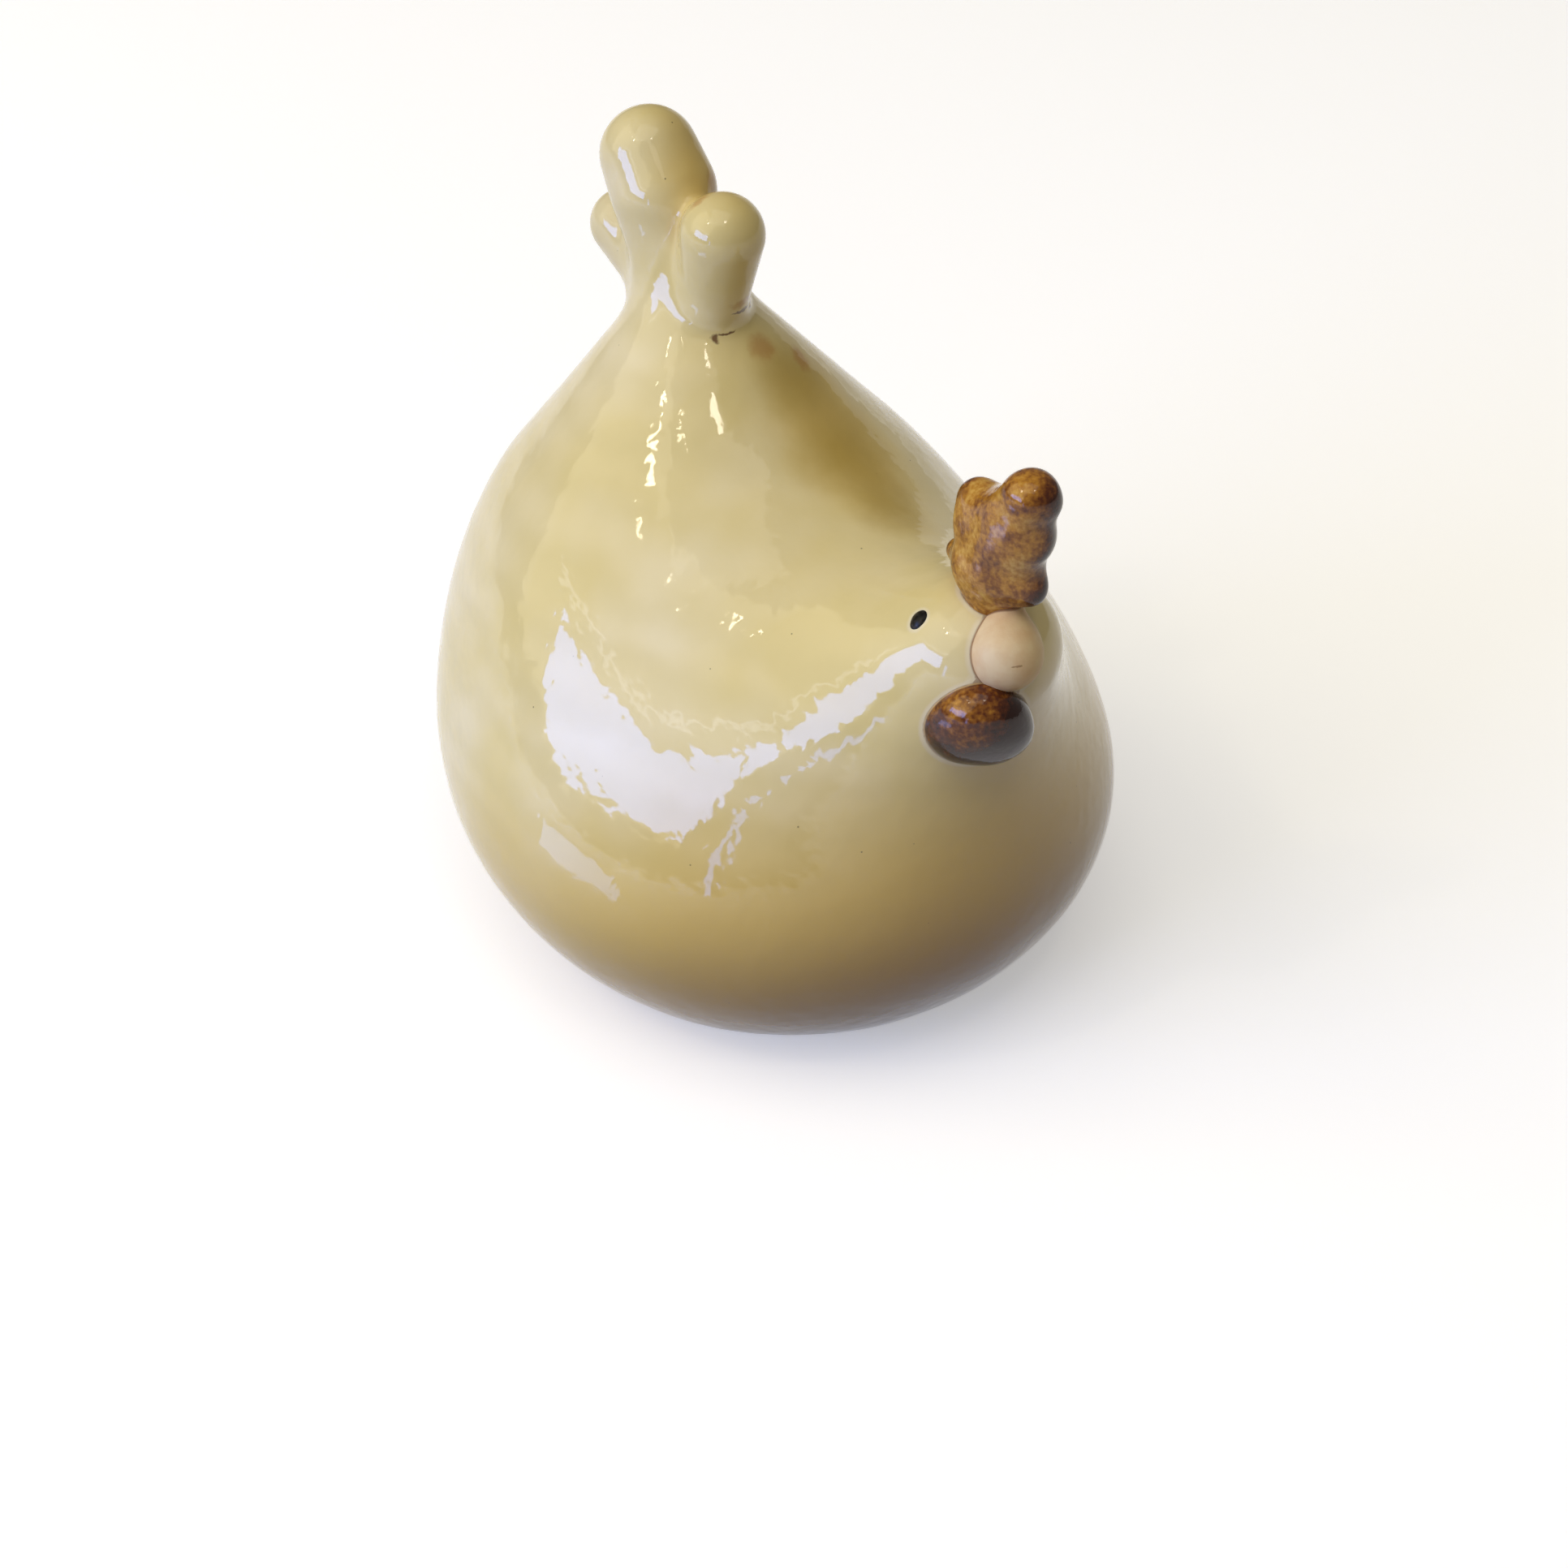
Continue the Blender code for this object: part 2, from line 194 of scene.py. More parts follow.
def follow(clay: Field, origins: np.ndarray, directions: np.ndarray, steps: int = 60) -> np.ndarray:
    """Follows rays from inside a field out to its surface, each step 0.95 of the depth that is left.

    Args:
        clay: The field.
        origins: Where the rays start, one point or one a ray.
        directions: Unit directions of the rays.
        steps: How many steps are taken.

    Returns:
        A point on the surface for each ray.
    """
    reach = np.full(directions.shape[:-1], 0.2 * MM)
    for _ in range(steps):
        reach = reach - 0.95 * clay(origins + directions * reach[..., None])
    return origins + directions * reach[..., None]


def slopes(clay: Field, points: np.ndarray, span: float = 0.05 * MM) -> np.ndarray:
    """Outward unit normals: the field's differences over a short span along X, Y and Z."""
    offsets = np.eye(3) * span
    return unit(np.stack([clay(points + o) - clay(points - o) for o in offsets], axis=-1))


def bending(clay: Field, points: np.ndarray, span: float) -> np.ndarray:
    """How the surface bends: the sum of the field's second differences, positive on a bulge.

    Args:
        clay: The field.
        points: Places on its surface, in metres.
        span: The step of the differences, in metres.

    Returns:
        The bend at each place, per metre.
    """
    offsets = np.eye(3) * span
    around = sum(clay(points + o) + clay(points - o) for o in offsets)
    return (around - 6.0 * clay(points)) / span**2


def ripple(points: np.ndarray, wavelength: float, seed: int) -> np.ndarray:
    """Smooth unevenness: the sum of seven sine waves along seeded directions, over the root of fourteen.

    Args:
        points: Places, in metres.
        wavelength: The waves' middle length, in metres.
        seed: The seed of the directions, lengths and phases.

    Returns:
        A value at each place, mostly between -1 and 1.
    """
    draw = np.random.default_rng(seed)
    waves = unit(draw.normal(size=(7, 3))) * 2 * np.pi / wavelength
    waves = waves * draw.uniform(0.7, 1.4, size=(7, 1))
    phases = draw.uniform(0.0, 2 * np.pi, size=7)
    return np.sin(points @ waves.T + phases).sum(-1) / np.sqrt(7.0 * 2.0)


def ring(angles: np.ndarray, axis: np.ndarray) -> np.ndarray:
    """Unit vectors round an axis: cos of the angle times a first direction, plus sin times the one across.

    Args:
        angles: How far round each vector is, in radians.
        axis: The axis, a unit vector. Where it has no sideways lean, the angle starts at the front.

    Returns:
        A vector for each angle.
    """
    sideways = np.array([1.0, 0.0, 0.0])
    first = unit(np.cross(sideways if abs(axis[0]) < 0.7 else UP, axis))
    second = np.cross(axis, first)
    return np.cos(angles)[:, None] * first + np.sin(angles)[:, None] * second


def between(first: np.ndarray, second: np.ndarray, shares: np.ndarray) -> np.ndarray:
    """Rows of directions turned from one ring to another along great circles: with t the share and a the
    angle between them, (sin((1 - t) a) first + sin(t a) second) / sin(a).

    Args:
        first: Directions at share 0, one a column.
        second: Directions at share 1, one a column or a single one.
        shares: The share of the turn for each row, or for each row and column.

    Returns:
        Unit directions by row and column.
    """
    first, second = unit(first), unit(second)
    angle = np.arccos(np.clip((first * second).sum(-1, keepdims=True), -1.0, 1.0))
    share = shares.reshape(len(shares), -1, 1)
    return (np.sin((1 - share) * angle) * first + np.sin(share * angle) * second) / np.sin(angle)


def even_shares(tracks: np.ndarray, rows: int) -> np.ndarray:
    """Where rows fall along each column, crowded where the skin bends.

    The effort between two trial points is their distance over 10 mm plus the turn there over 12 degrees. It
    is blended between neighbouring columns and summed, and rows stand at equal steps of the sum.

    Args:
        tracks: Trial points along each column, at equal shares.
        rows: How many rows are wanted between the first and the last.

    Returns:
        Shares by row and column.
    """
    steps = np.diff(tracks, axis=0)
    lengths = np.linalg.norm(steps, axis=-1)
    ways = steps / lengths[..., None]
    turns = np.degrees(np.arccos(np.clip((ways[1:] * ways[:-1]).sum(-1), -1.0, 1.0)))
    effort = lengths / (10.0 * MM)
    effort[1:] += turns / 12.0
    for _ in range(200):
        effort = (np.roll(effort, 1, axis=1) + 2 * effort + np.roll(effort, -1, axis=1)) / 4
    travelled = np.concatenate([np.zeros_like(effort[:1]), np.cumsum(effort, axis=0)])
    trials = np.linspace(0.0, 1.0, len(tracks))
    wanted = np.arange(1, rows + 1) / (rows + 1)
    return np.transpose([np.interp(wanted * column[-1], column, trials) for column in travelled.T])


def grid_faces(rows: int, columns: int, start: int = 0) -> np.ndarray:
    """Quads of a grid that closes round its columns: each point, the next in its row, and both a row up.

    Args:
        rows: Rows of points.
        columns: Points in a row.
        start: The number of the grid's first point.

    Returns:
        Four point numbers a face.
    """
    row, column = np.meshgrid(np.arange(rows - 1), np.arange(columns), indexing="ij")
    after = (column + 1) % columns
    corners = [row * columns + column, row * columns + after]
    corners += [(row + 1) * columns + after, (row + 1) * columns + column]
    return np.stack(corners, axis=-1).reshape(-1, 4) + start


def fan_faces(first: int, columns: int, pole: int) -> np.ndarray:
    """Triangles from a ring of points to a pole.

    Args:
        first: The number of the ring's first point.
        columns: Points in the ring.
        pole: The pole's number.

    Returns:
        Three point numbers a face.
    """
    here = np.arange(columns)
    after = (here + 1) % columns
    return np.stack([first + here, first + after, np.full(columns, pole)], axis=-1)


@dataclass
class Skin:
    """A surface being laid out: its points, faces and the finish that each face takes."""

    points: list[np.ndarray] = field(default_factory=list)
    faces: list[np.ndarray] = field(default_factory=list)
    finishes: list[np.ndarray] = field(default_factory=list)

    def add(self, points: np.ndarray) -> int:
        """Adds points.

        Args:
            points: Places in a grid of any shape, in metres.

        Returns:
            The number of the first.
        """
        start = sum(len(block) for block in self.points)
        self.points.append(points.reshape(-1, 3))
        return start

    def face(self, corners: np.ndarray, finish: int = 0) -> None:
        """Adds faces that take the finish of that number."""
        self.faces.append(corners)
        self.finishes.append(np.full(len(corners), finish, dtype=np.int32))

    def make(self, name: str, clay: Field, materials: list[bpy.types.Material]) -> bpy.types.Object:
        """Makes the mesh object, with the field's own normals, and lets it ride on the hen's body.

        Args:
            name: The piece's name.
            clay: The field whose slopes give the normals.
            materials: The finishes, in the order that the faces number them.

        Returns:
            The new object.
        """
        points = np.concatenate(self.points)
        counts = np.concatenate([np.full(len(block), block.shape[1]) for block in self.faces])
        corners = np.concatenate([block.reshape(-1) for block in self.faces])
        mesh = bpy.data.meshes.new(name)
        mesh.vertices.add(len(points))
        mesh.vertices.foreach_set("co", points.reshape(-1).astype(np.float32))
        mesh.loops.add(len(corners))
        mesh.loops.foreach_set("vertex_index", corners.astype(np.int32))
        mesh.polygons.add(len(counts))
        starts = np.concatenate([[0], np.cumsum(counts)[:-1]])
        mesh.polygons.foreach_set("loop_start", starts.astype(np.int32))
        mesh.update(calc_edges=True)
        for finish in materials:
            mesh.materials.append(finish)
        mesh.polygons.foreach_set("material_index", np.concatenate(self.finishes))
        mesh.shade_smooth()
        mesh.normals_split_custom_set_from_vertices(slopes(clay, points))
        mesh.validate()
        piece = bpy.data.objects.new(name, mesh)
        bpy.context.scene.collection.objects.link(piece)
        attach(piece, BODY)
        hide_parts(NODE)
        LOG.info("%s: %d points, %d faces", name, len(points), len(counts))
        return piece


def points_of(piece: bpy.types.Object) -> np.ndarray:
    """Reads a piece's points.

    Args:
        piece: The mesh object.

    Returns:
        The places of its vertices, in metres.
    """
    flat = np.empty(3 * len(piece.data.vertices))
    piece.data.vertices.foreach_get("co", flat)
    return flat.reshape(-1, 3)


def note(piece: bpy.types.Object, name: str, values: np.ndarray) -> None:
    """Keeps one number a point on the mesh, for its material to read."""
    attribute = piece.data.attributes.new(name, "FLOAT", "POINT")
    attribute.data.foreach_set("value", values.astype(np.float32))


def lump(
    name: str,
    clay: Field,
    centre: np.ndarray,
    axis: np.ndarray,
    rows: int,
    columns: int,
    finish: bpy.types.Material,
) -> bpy.types.Object:
    """A closed skin round a field: rays from its centre, by climb from pole to pole and by turn round it.

    Args:
        name: The piece's name.
        clay: The field.
        centre: A point inside that sees all of the surface.
        axis: The direction of the upper pole.
        rows: Steps from pole to pole.
        columns: Steps round the axis.
        finish: The material.

    Returns:
        The new object.
    """
    axis = unit(axis)
    around = ring(np.arange(columns) * 2 * np.pi / columns, axis)
    climbs = np.pi * (np.arange(1, rows) / rows - 0.5)[:, None, None]
    directions = np.cos(climbs) * around + np.sin(climbs) * axis
    skin = Skin()
    skin.add(follow(clay, centre, directions))
    poles = skin.add(follow(clay, centre, np.stack([-axis, axis])))
    skin.face(grid_faces(rows - 1, columns))
    skin.face(fan_faces(0, columns, poles)[:, ::-1])
    skin.face(fan_faces((rows - 2) * columns, columns, poles + 1))
    return skin.make(name, clay, [finish])


@dataclass(frozen=True)
class Dents:
    """The hand's unevenness, in millimetres: its depth and length, and how far the whole skin is drawn in."""

    depth: float
    length: float
    inset: float
    seed: int

    def __call__(self, points: np.ndarray) -> np.ndarray:
        """How far in the skin lies at each place, in metres: the inset plus the depth times a ripple."""
        return (self.inset + self.depth * ripple(points, self.length * MM, self.seed)) * MM


@dataclass(frozen=True)
class BodyForm:
    """The clay of the body and tail, in the part's own sizes."""

    belly: Egg = Egg(at(0, 0, 31.35), at(58.6, 65.0, 36.1))
    back: Roll = Roll(at(0, 18.7, 57.3), at(0, 25.5, 122.0), 47.9 * MM, 4.6 * MM)
    head: Roll = Roll(at(0, -7.65, 30.6), at(0, -54.8, 85.4), 40.2 * MM, 13.7 * MM)
    head_breadth: float = 1.09
    back_weld: float = 29.0 * MM
    head_weld: float = 31.8 * MM
    tail_hub: np.ndarray = field(default_factory=lambda: at(0, 27.0, 121.0))
    middle_feather: tuple[Ball, ...] = (
        Ball(180.0, 4.0, 6.8),
        Ball(21.0, 15.4, 9.6),
        Ball(26.0, 22.0, 8.9),
    )
    front_feather: tuple[Ball, ...] = (Ball(-85.0, 9.5, 6.2), Ball(-43.0, 17.3, 7.6))
    rear_feather: tuple[Ball, ...] = (Ball(105.0, 9.0, 5.9), Ball(80.0, 18.4, 6.4))
    neck_weld: float = 8.0 * MM
    feather_weld: float = 4.0 * MM
    foot_round: float = 8.0 * MM
    wall: float = 5.0 * MM
    foot_thickness: float = 5.5 * MM
    hollow_ceiling: float = 105.0 * MM
    hollow_round: float = 12.0 * MM
    dents: Dents = Dents(0.06, 26.0, 0.08, 3)

    def trunk(self, points: np.ndarray) -> np.ndarray:
        """Belly, back and head in one smooth form.

        Args:
            points: Places, in metres.

        Returns:
            The field's value at each place.
        """
        back = smooth_union(self.belly(points), self.back(points), self.back_weld)
        narrowed = points / np.array([self.head_breadth, 1.0, 1.0])
        return smooth_union(back, self.head(narrowed), self.head_weld)

    def with_tail(self, points: np.ndarray) -> np.ndarray:
        """The trunk with the feathers growing out of its neck.

        Args:
            points: Places, in metres.

        Returns:
            The field's value at each place.
        """
        middle = Chain(self.tail_hub, self.middle_feather)(points)
        neck = smooth_union(self.trunk(points), middle, self.neck_weld)
        rear = Chain(self.tail_hub, self.rear_feather)(points)
        front = Chain(self.tail_hub, self.front_feather)(points)
        return smooth_union(smooth_union(neck, rear, self.feather_weld), front, self.feather_weld)

    def casting(self, points: np.ndarray) -> np.ndarray:
        """Trunk and tail with the foot cut flat at the floor, and the hand's slight unevenness."""
        clay = self.with_tail(points) + self.dents(points)
        return -smooth_union(-clay, points[..., 2], self.foot_round)

    def with_foot(self, points: np.ndarray) -> np.ndarray:
        """Trunk and tail with the foot cut flat, and no unevenness."""
        return -smooth_union(-self.with_tail(points), points[..., 2], self.foot_round)

    def hollow(self, points: np.ndarray) -> np.ndarray:
        """The space inside: a wall's thickness in, above the foot and below the neck.

        Args:
            points: Places, in metres.

        Returns:
            The field's value at each place.
        """
        inside = self.trunk(points) + self.wall
        ceiling = points[..., 2] - self.hollow_ceiling
        rounded = -smooth_union(-inside, -ceiling, self.hollow_round)
        return np.maximum(rounded, self.foot_thickness - points[..., 2])

    def rounding_start(self, points: np.ndarray) -> np.ndarray:
        """Where the foot's rounding begins on the floor."""
        return self.trunk(points) + self.foot_round

    def on_head(self, turn: float, climb: float) -> tuple[np.ndarray, np.ndarray]:
        """A seat on the head.

        Args:
            turn: Degrees round from the front, positive to the hen's right.
            climb: Degrees above level.

        Returns:
            The point on the surface and the direction out from the head's centre.
        """
        spin, rise = np.radians(turn), np.radians(climb)
        way = np.array([-np.sin(spin) * np.cos(rise), -np.cos(spin) * np.cos(rise), np.sin(rise)])
        return follow(self.trunk, self.head.end, way), way


def srgb(colour: str) -> tuple[float, float, float, float]:
    """Turns a hex colour into linear light: c / 12.92 for a dark part, else ((c + 0.055) / 1.055) ^ 2.4.

    Args:
        colour: A value such as #DED096.

    Returns:
        Red, green and blue, with an alpha of 1.
    """
    parts = [int(colour[i : i + 2], 16) / 255 for i in (1, 3, 5)]
    red, green, blue = (c / 12.92 if c <= 0.04045 else ((c + 0.055) / 1.055) ** 2.4 for c in parts)
    return red, green, blue, 1.0


def feed(tree: Tree, fed: bpy.types.Node, inputs: dict) -> None:
    """Feeds a node's inputs.

    Args:
        tree: The node tree.
        fed: The node.
        inputs: For a socket's name or number, its value or the output socket that feeds it.
    """
    for name, value in inputs.items():
        if isinstance(value, bpy.types.NodeSocket):
            tree.links.new(value, fed.inputs[name])
        else:
            fed.inputs[name].default_value = value


def node(tree: Tree, kind: str, inputs: dict | None = None, **settings: object) -> bpy.types.Node:
    """Adds a node with its settings and links.

    Args:
        tree: The node tree.
        kind: The node's type, without "ShaderNode".
        inputs: What feeds it, as above.
        settings: The node's own properties.

    Returns:
        The new node.
    """
    made = tree.nodes.new("ShaderNode" + kind)
    for name, value in settings.items():
        setattr(made, name, value)
    feed(tree, made, inputs or {})
    return made


def new_material(name: str) -> tuple[bpy.types.Material, Tree, bpy.types.Node]:
    """Starts a material.

    Args:
        name: The finish's name.

    Returns:
        The material, its tree and its Principled shader.
    """
    material = bpy.data.materials.new(name)
    material.use_nodes = True
    return material, material.node_tree, material.node_tree.nodes["Principled BSDF"]


def laid(tree: Tree, under: str | Socket, over: str | Socket, cover: Socket, strength: float = 1.0) -> Socket:
    """Lays one colour over another: the upper one's share is its cover times its strength.

    Args:
        tree: The node tree.
        under: The colour below, as a hex value or a socket.
        over: The colour above, likewise.
        cover: Where the upper colour lies, from 0 to 1.
        strength: How much of it shows where it lies fully.

    Returns:
        The joined colour's socket.
    """
    below, above = (srgb(c) if isinstance(c, str) else c for c in (under, over))
    share = node(tree, "Math", {0: cover, 1: strength}, operation="MULTIPLY").outputs[0]
    return node(tree, "Mix", {0: share, 6: below, 7: above}, data_type="RGBA").outputs[2]


@dataclass(frozen=True)
class Grain:
    """Noise of a size in millimetres, spread so that its low and high values give 0 and 1."""

    size: float
    low: float
    high: float
    detail: float = 2.0

    def cover(self, tree: Tree, place: Socket) -> Socket:
        """Adds its nodes.

        Args:
            tree: The node tree.
            place: Object coordinates.

        Returns:
            The factor's socket.
        """
        scale = 1.0 / (self.size * MM)
        noise = node(tree, "TexNoise", {"Vector": place, "Scale": scale, "Detail": self.detail})
        limits = {"Value": noise.outputs["Fac"], "From Min": self.low, "From Max": self.high}
        return node(tree, "MapRange", limits).outputs[0]


@dataclass(frozen=True)
class Warp:
    """A push that makes edges ragged, by noise of a size and up to about half a shift, in millimetres."""

    size: float
    shift: float

    def push(self, tree: Tree, place: Socket) -> Socket:
        """Pushes coordinates about: the place plus the shift times the noise's colour less a half.

        Args:
            tree: The node tree.
            place: Object coordinates.

        Returns:
            The pushed coordinates' socket.
        """
        scale = 1.0 / (self.size * MM)
        noise = node(tree, "TexNoise", {"Vector": place, "Scale": scale, "Detail": 3.0})
        parts = {0: noise.outputs["Color"], 1: (0.5, 0.5, 0.5)}
        centred = node(tree, "VectorMath", parts, operation="SUBTRACT").outputs[0]
        parts = {0: centred, 1: (self.shift * MM,) * 3, 2: place}
        return node(tree, "VectorMath", parts, operation="MULTIPLY_ADD").outputs[0]


@dataclass(frozen=True)
class Coat:
    """A colour laid on by an attribute of the piece, fully at one value of it and not at all at another."""

    attribute: str
    colour: str
    full: float
    none: float
    strength: float = 1.0

    def over(self, tree: Tree, under: Socket) -> Socket:
        """Lays the coat on, with a smooth step between the two values.

        Args:
            tree: The node tree.
            under: The colour below.

        Returns:
            The joined colour's socket.
        """
        value = node(tree, "Attribute", attribute_name=self.attribute).outputs["Fac"]
        limits = {"Value": value, "From Min": self.none, "From Max": self.full}
        cover = node(tree, "MapRange", limits, interpolation_type="SMOOTHSTEP").outputs[0]
        return laid(tree, under, self.colour, cover, self.strength)


@dataclass(frozen=True)
class Blot:
    """A soft-edged patch on the glaze: an ellipsoid round a point of the skin, in millimetres."""

    centre: tuple[float, float, float]
    reach: tuple[float, float, float]
    core: float = 0.3

    def cover(self, tree: Tree, place: Socket) -> Socket:
        """Adds nodes that give 1 in the patch's core and 0 from its edge outwards.

        Args:
            tree: The node tree.
            place: Object coordinates, pushed about if the edge should be ragged.

        Returns:
            The factor's socket.
        """
        centre, reach = (tuple(v * MM for v in values) for values in (self.centre, self.reach))
        offset = node(tree, "VectorMath", {0: place, 1: centre}, operation="SUBTRACT").outputs[0]
        scaled = node(tree, "VectorMath", {0: offset, 1: reach}, operation="DIVIDE").outputs[0]
        length = node(tree, "VectorMath", {0: scaled}, operation="LENGTH").outputs["Value"]
        limits = {"Value": length, "From Min": 1.0, "From Max": self.core}
        return node(tree, "MapRange", limits, interpolation_type="SMOOTHSTEP").outputs[0]


@dataclass(frozen=True)
class Stains:
    """Patches of one colour and strength."""

    colour: str
    strength: float
    blots: tuple[Blot, ...]

    def over(self, tree: Tree, under: Socket, place: Socket) -> Socket:
        """Lays the patches on, one after the other.

        Args:
            tree: The node tree.
            under: The colour below.
            place: Object coordinates, pushed about if the edges should be ragged.

        Returns:
            The joined colour's socket.
        """
        for blot in self.blots:
            under = laid(tree, under, self.colour, blot.cover(tree, place), self.strength)
        return under


@dataclass(frozen=True)
class Swell:
    """Noise in a surface's height: its size in millimetres, its detail and its share."""

    size: float
    detail: float
    share: float = 1.0


@dataclass(frozen=True)
class Relief:
    """A fired surface's unevenness: its swells, and the height of a whole one in millimetres."""

    height: float
    swells: tuple[Swell, ...]

    def press(self, tree: Tree, place: Socket, shader: bpy.types.Node) -> None:
        """Feeds a shader the bump of the swells' sum, each times its share.

        Args:
            tree: The node tree.
            place: Object coordinates.
            shader: The Principled shader.
        """
        total: Socket | float = 0.0
        for swell in self.swells:
            scale = 1.0 / (swell.size * MM)
            noise = node(tree, "TexNoise", {"Vector": place, "Scale": scale, "Detail": swell.detail})
            parts = {0: noise.outputs["Fac"], 1: swell.share, 2: total}
            total = node(tree, "Math", parts, operation="MULTIPLY_ADD").outputs[0]
        bump = node(tree, "Bump", {"Height": total, "Distance": self.height * MM})
        feed(tree, shader, {"Normal": bump.outputs["Normal"]})


@dataclass(frozen=True)
class CreamGlaze:
    """Honey-cream earthenware glaze, dipped and fired: glossy, pale where thin, olive where it pooled, honey
    low down, with painted shade that darkens it towards the foot and the front.

    Its dipping rings are about 9 mm apart, 2 pi over 20 times their scale. Of the cells that the iron specks
    sit in, one in five is chosen, and a speck's radius is given in shares of a cell.
    """

    cream: str = "#E5D28F"
    thin: str = "#EEDFAF"
    clouds: Grain = Grain(26.0, 0.4, 0.75)
    ring: str = "#D2C07C"
    ring_strength: float = 0.22
    ring_waves: tuple[tuple[str, float], ...] = (
        ("Scale", 36.0),
        ("Distortion", 5.0),
        ("Detail", 2.0),
        ("Detail Scale", 0.8),
    )
    # Lower coats: partly honey glaze that thickens low down, partly painted shade and painted brown bounce
    # light, darkest at the foot and the front.
    lower_glaze_and_shade_coats: tuple[Coat, ...] = (
        Coat("low", GOLDEN, 0.4, 0.0),
        Coat("low", "#8C6212", 0.75, 0.22),
        Coat("low", "#341900", 0.98, 0.6),
    )
    broad_edge: Warp = Warp(9.0, 6.0)
    fine_edge: Warp = Warp(1.6, 1.8)
    # Golden patches over the tail and the far upper flank.
    golden_patches: Stains = Stains(GOLDEN, 0.75, (
        Blot((6.0, 26.0, 138.0), (15.0, 20.0, 24.0), 0.2),
        Blot((10.0, -8.0, 101.0), (17.0, 34.0, 20.0), 0.2),
    ))
    pools: Stains = Stains("#A88A26", 0.55, (
        Blot((8.0, 4.0, 107.5), (14.0, 14.0, 10.0), 0.1),
        Blot((9.0, -9.0, 98.0), (15.0, 15.0, 10.0), 0.1),
        Blot((9.0, -21.0, 94.0), (11.0, 12.0, 7.0), 0.1),
    ))
    # Amber in the creases: partly glaze pooled there, partly painted crease shade.
    crease_glaze_and_shade: Coat = Coat("bend", AMBER_STAIN_AND_SHADE, -0.5, -0.12, 0.45)
    runs: Stains = Stains(AMBER_STAIN_AND_SHADE, 0.5, (
        Blot((3.9, 9.5, 112.5), (4.0, 3.5, 4.0)),
        Blot((12.0, 8.0, 108.5), (2.6, 4.0, 3.0)),
        Blot((5.6, 25.1, 137.6), (2.6, 4.5, 3.6)),
        Blot((-2.6, 17.8, 139.4), (3.0, 1.6, 2.4)),
        Blot((1.8, 12.0, 121.8), (4.6, 2.4, 1.4)),
    ))
    # Dark brown lines where the front feather meets the body.
    feather_base_lines: Stains = Stains("#5C2E10", 0.85, (
        Blot((-4.1, 12.4, 115.8), (1.0, 1.2, 1.1), 0.5),
        Blot((-1.6, 11.8, 116.2), (2.6, 1.2, 0.35), 0.5),
        Blot((1.8, 12.6, 119.9), (3.2, 2.5, 0.35), 0.6),
        Blot((5.2, 14.4, 118.6), (1.0, 1.6, 0.5), 0.5),
    ))
    edges: tuple[Coat, ...] = (
        Coat("lump_gap", HALO, 0.35, 1.1, 0.45),
        Coat("lump_gap", "#7A4A1E", 0.0, 0.3, 0.6),
        Coat("eye_gap", HALO, 0.1, 0.7, 0.35),
    )
    speck: str = "#4A3A22"
    speck_cell: float = 4.0
    speck_radius: float = 0.05
    speck_rarity: float = 0.62
    speck_strength: float = 0.7
    relief: Relief = Relief(0.2, (Swell(15.0, 0.0), Swell(4.0, 1.5, 0.68), Swell(0.9, 1.0, 0.004)))
    roughness: float = 0.05
    ior: float = 1.5

    def coloured(self, tree: Tree, place: Socket) -> Socket:
        """Colours the glaze: clouds, dipping rings, lower coats and crease coat with painted shade, golden
        patches, pools, runs and lines.

        Args:
            tree: The node tree.
            place: Object coordinates.

        Returns:
            The colour's socket.
        """
        ragged = self.broad_edge.push(tree, place)
        fine = self.fine_edge.push(tree, place)
        colour = laid(tree, self.cream, self.thin, self.clouds.cover(tree, place))
        waves = {"Vector": ragged} | dict(self.ring_waves)
        rings = node(tree, "TexWave", waves, bands_direction="Z")
        colour = laid(tree, colour, self.ring, rings.outputs["Fac"], self.ring_strength)
        for coat in self.lower_glaze_and_shade_coats:
            colour = coat.over(tree, colour)
        colour = self.golden_patches.over(tree, colour, ragged)
        colour = self.pools.over(tree, colour, ragged)
        colour = self.crease_glaze_and_shade.over(tree, colour)
        colour = self.runs.over(tree, colour, fine)
        return self.feather_base_lines.over(tree, colour, fine)

    def spotted(self, tree: Tree, place: Socket, colour: Socket) -> Socket:
        """Burns iron specks through the glaze, in the cells whose own random value passes the rarity.

        Args:
            tree: The node tree.
            place: Object coordinates.
            colour: The glaze's colour.

        Returns:
            The speckled colour's socket.
        """
        cells = node(tree, "TexVoronoi", {"Vector": place, "Scale": 1.0 / (self.speck_cell * MM)})
        parts = {0: cells.outputs["Color"], 1: self.speck_rarity}
        chosen = node(tree, "Math", parts, operation="GREATER_THAN").outputs[0]
        radius = {"From Min": self.speck_radius, "From Max": self.speck_radius / 2}
        near = node(tree, "MapRange", {"Value": cells.outputs["Distance"]} | radius).outputs[0]
        both = node(tree, "Math", {0: near, 1: chosen}, operation="MULTIPLY").outputs[0]
        return laid(tree, colour, self.speck, both, self.speck_strength)

    def make(self) -> bpy.types.Material:
        """Builds the material: the glaze's colour, its edge round each pressed-on piece, and its swells.

        Returns:
            The material.
        """
        material, tree, shader = new_material("cream_earthenware_glaze")
        place = node(tree, "TexCoord").outputs["Object"]
        colour = self.spotted(tree, place, self.coloured(tree, place))
        for edge in self.edges:
            colour = edge.over(tree, colour)
        self.relief.press(tree, place, shader)
        feed(tree, shader, {"Base Color": colour, "Roughness": self.roughness, "IOR": self.ior})
        return material


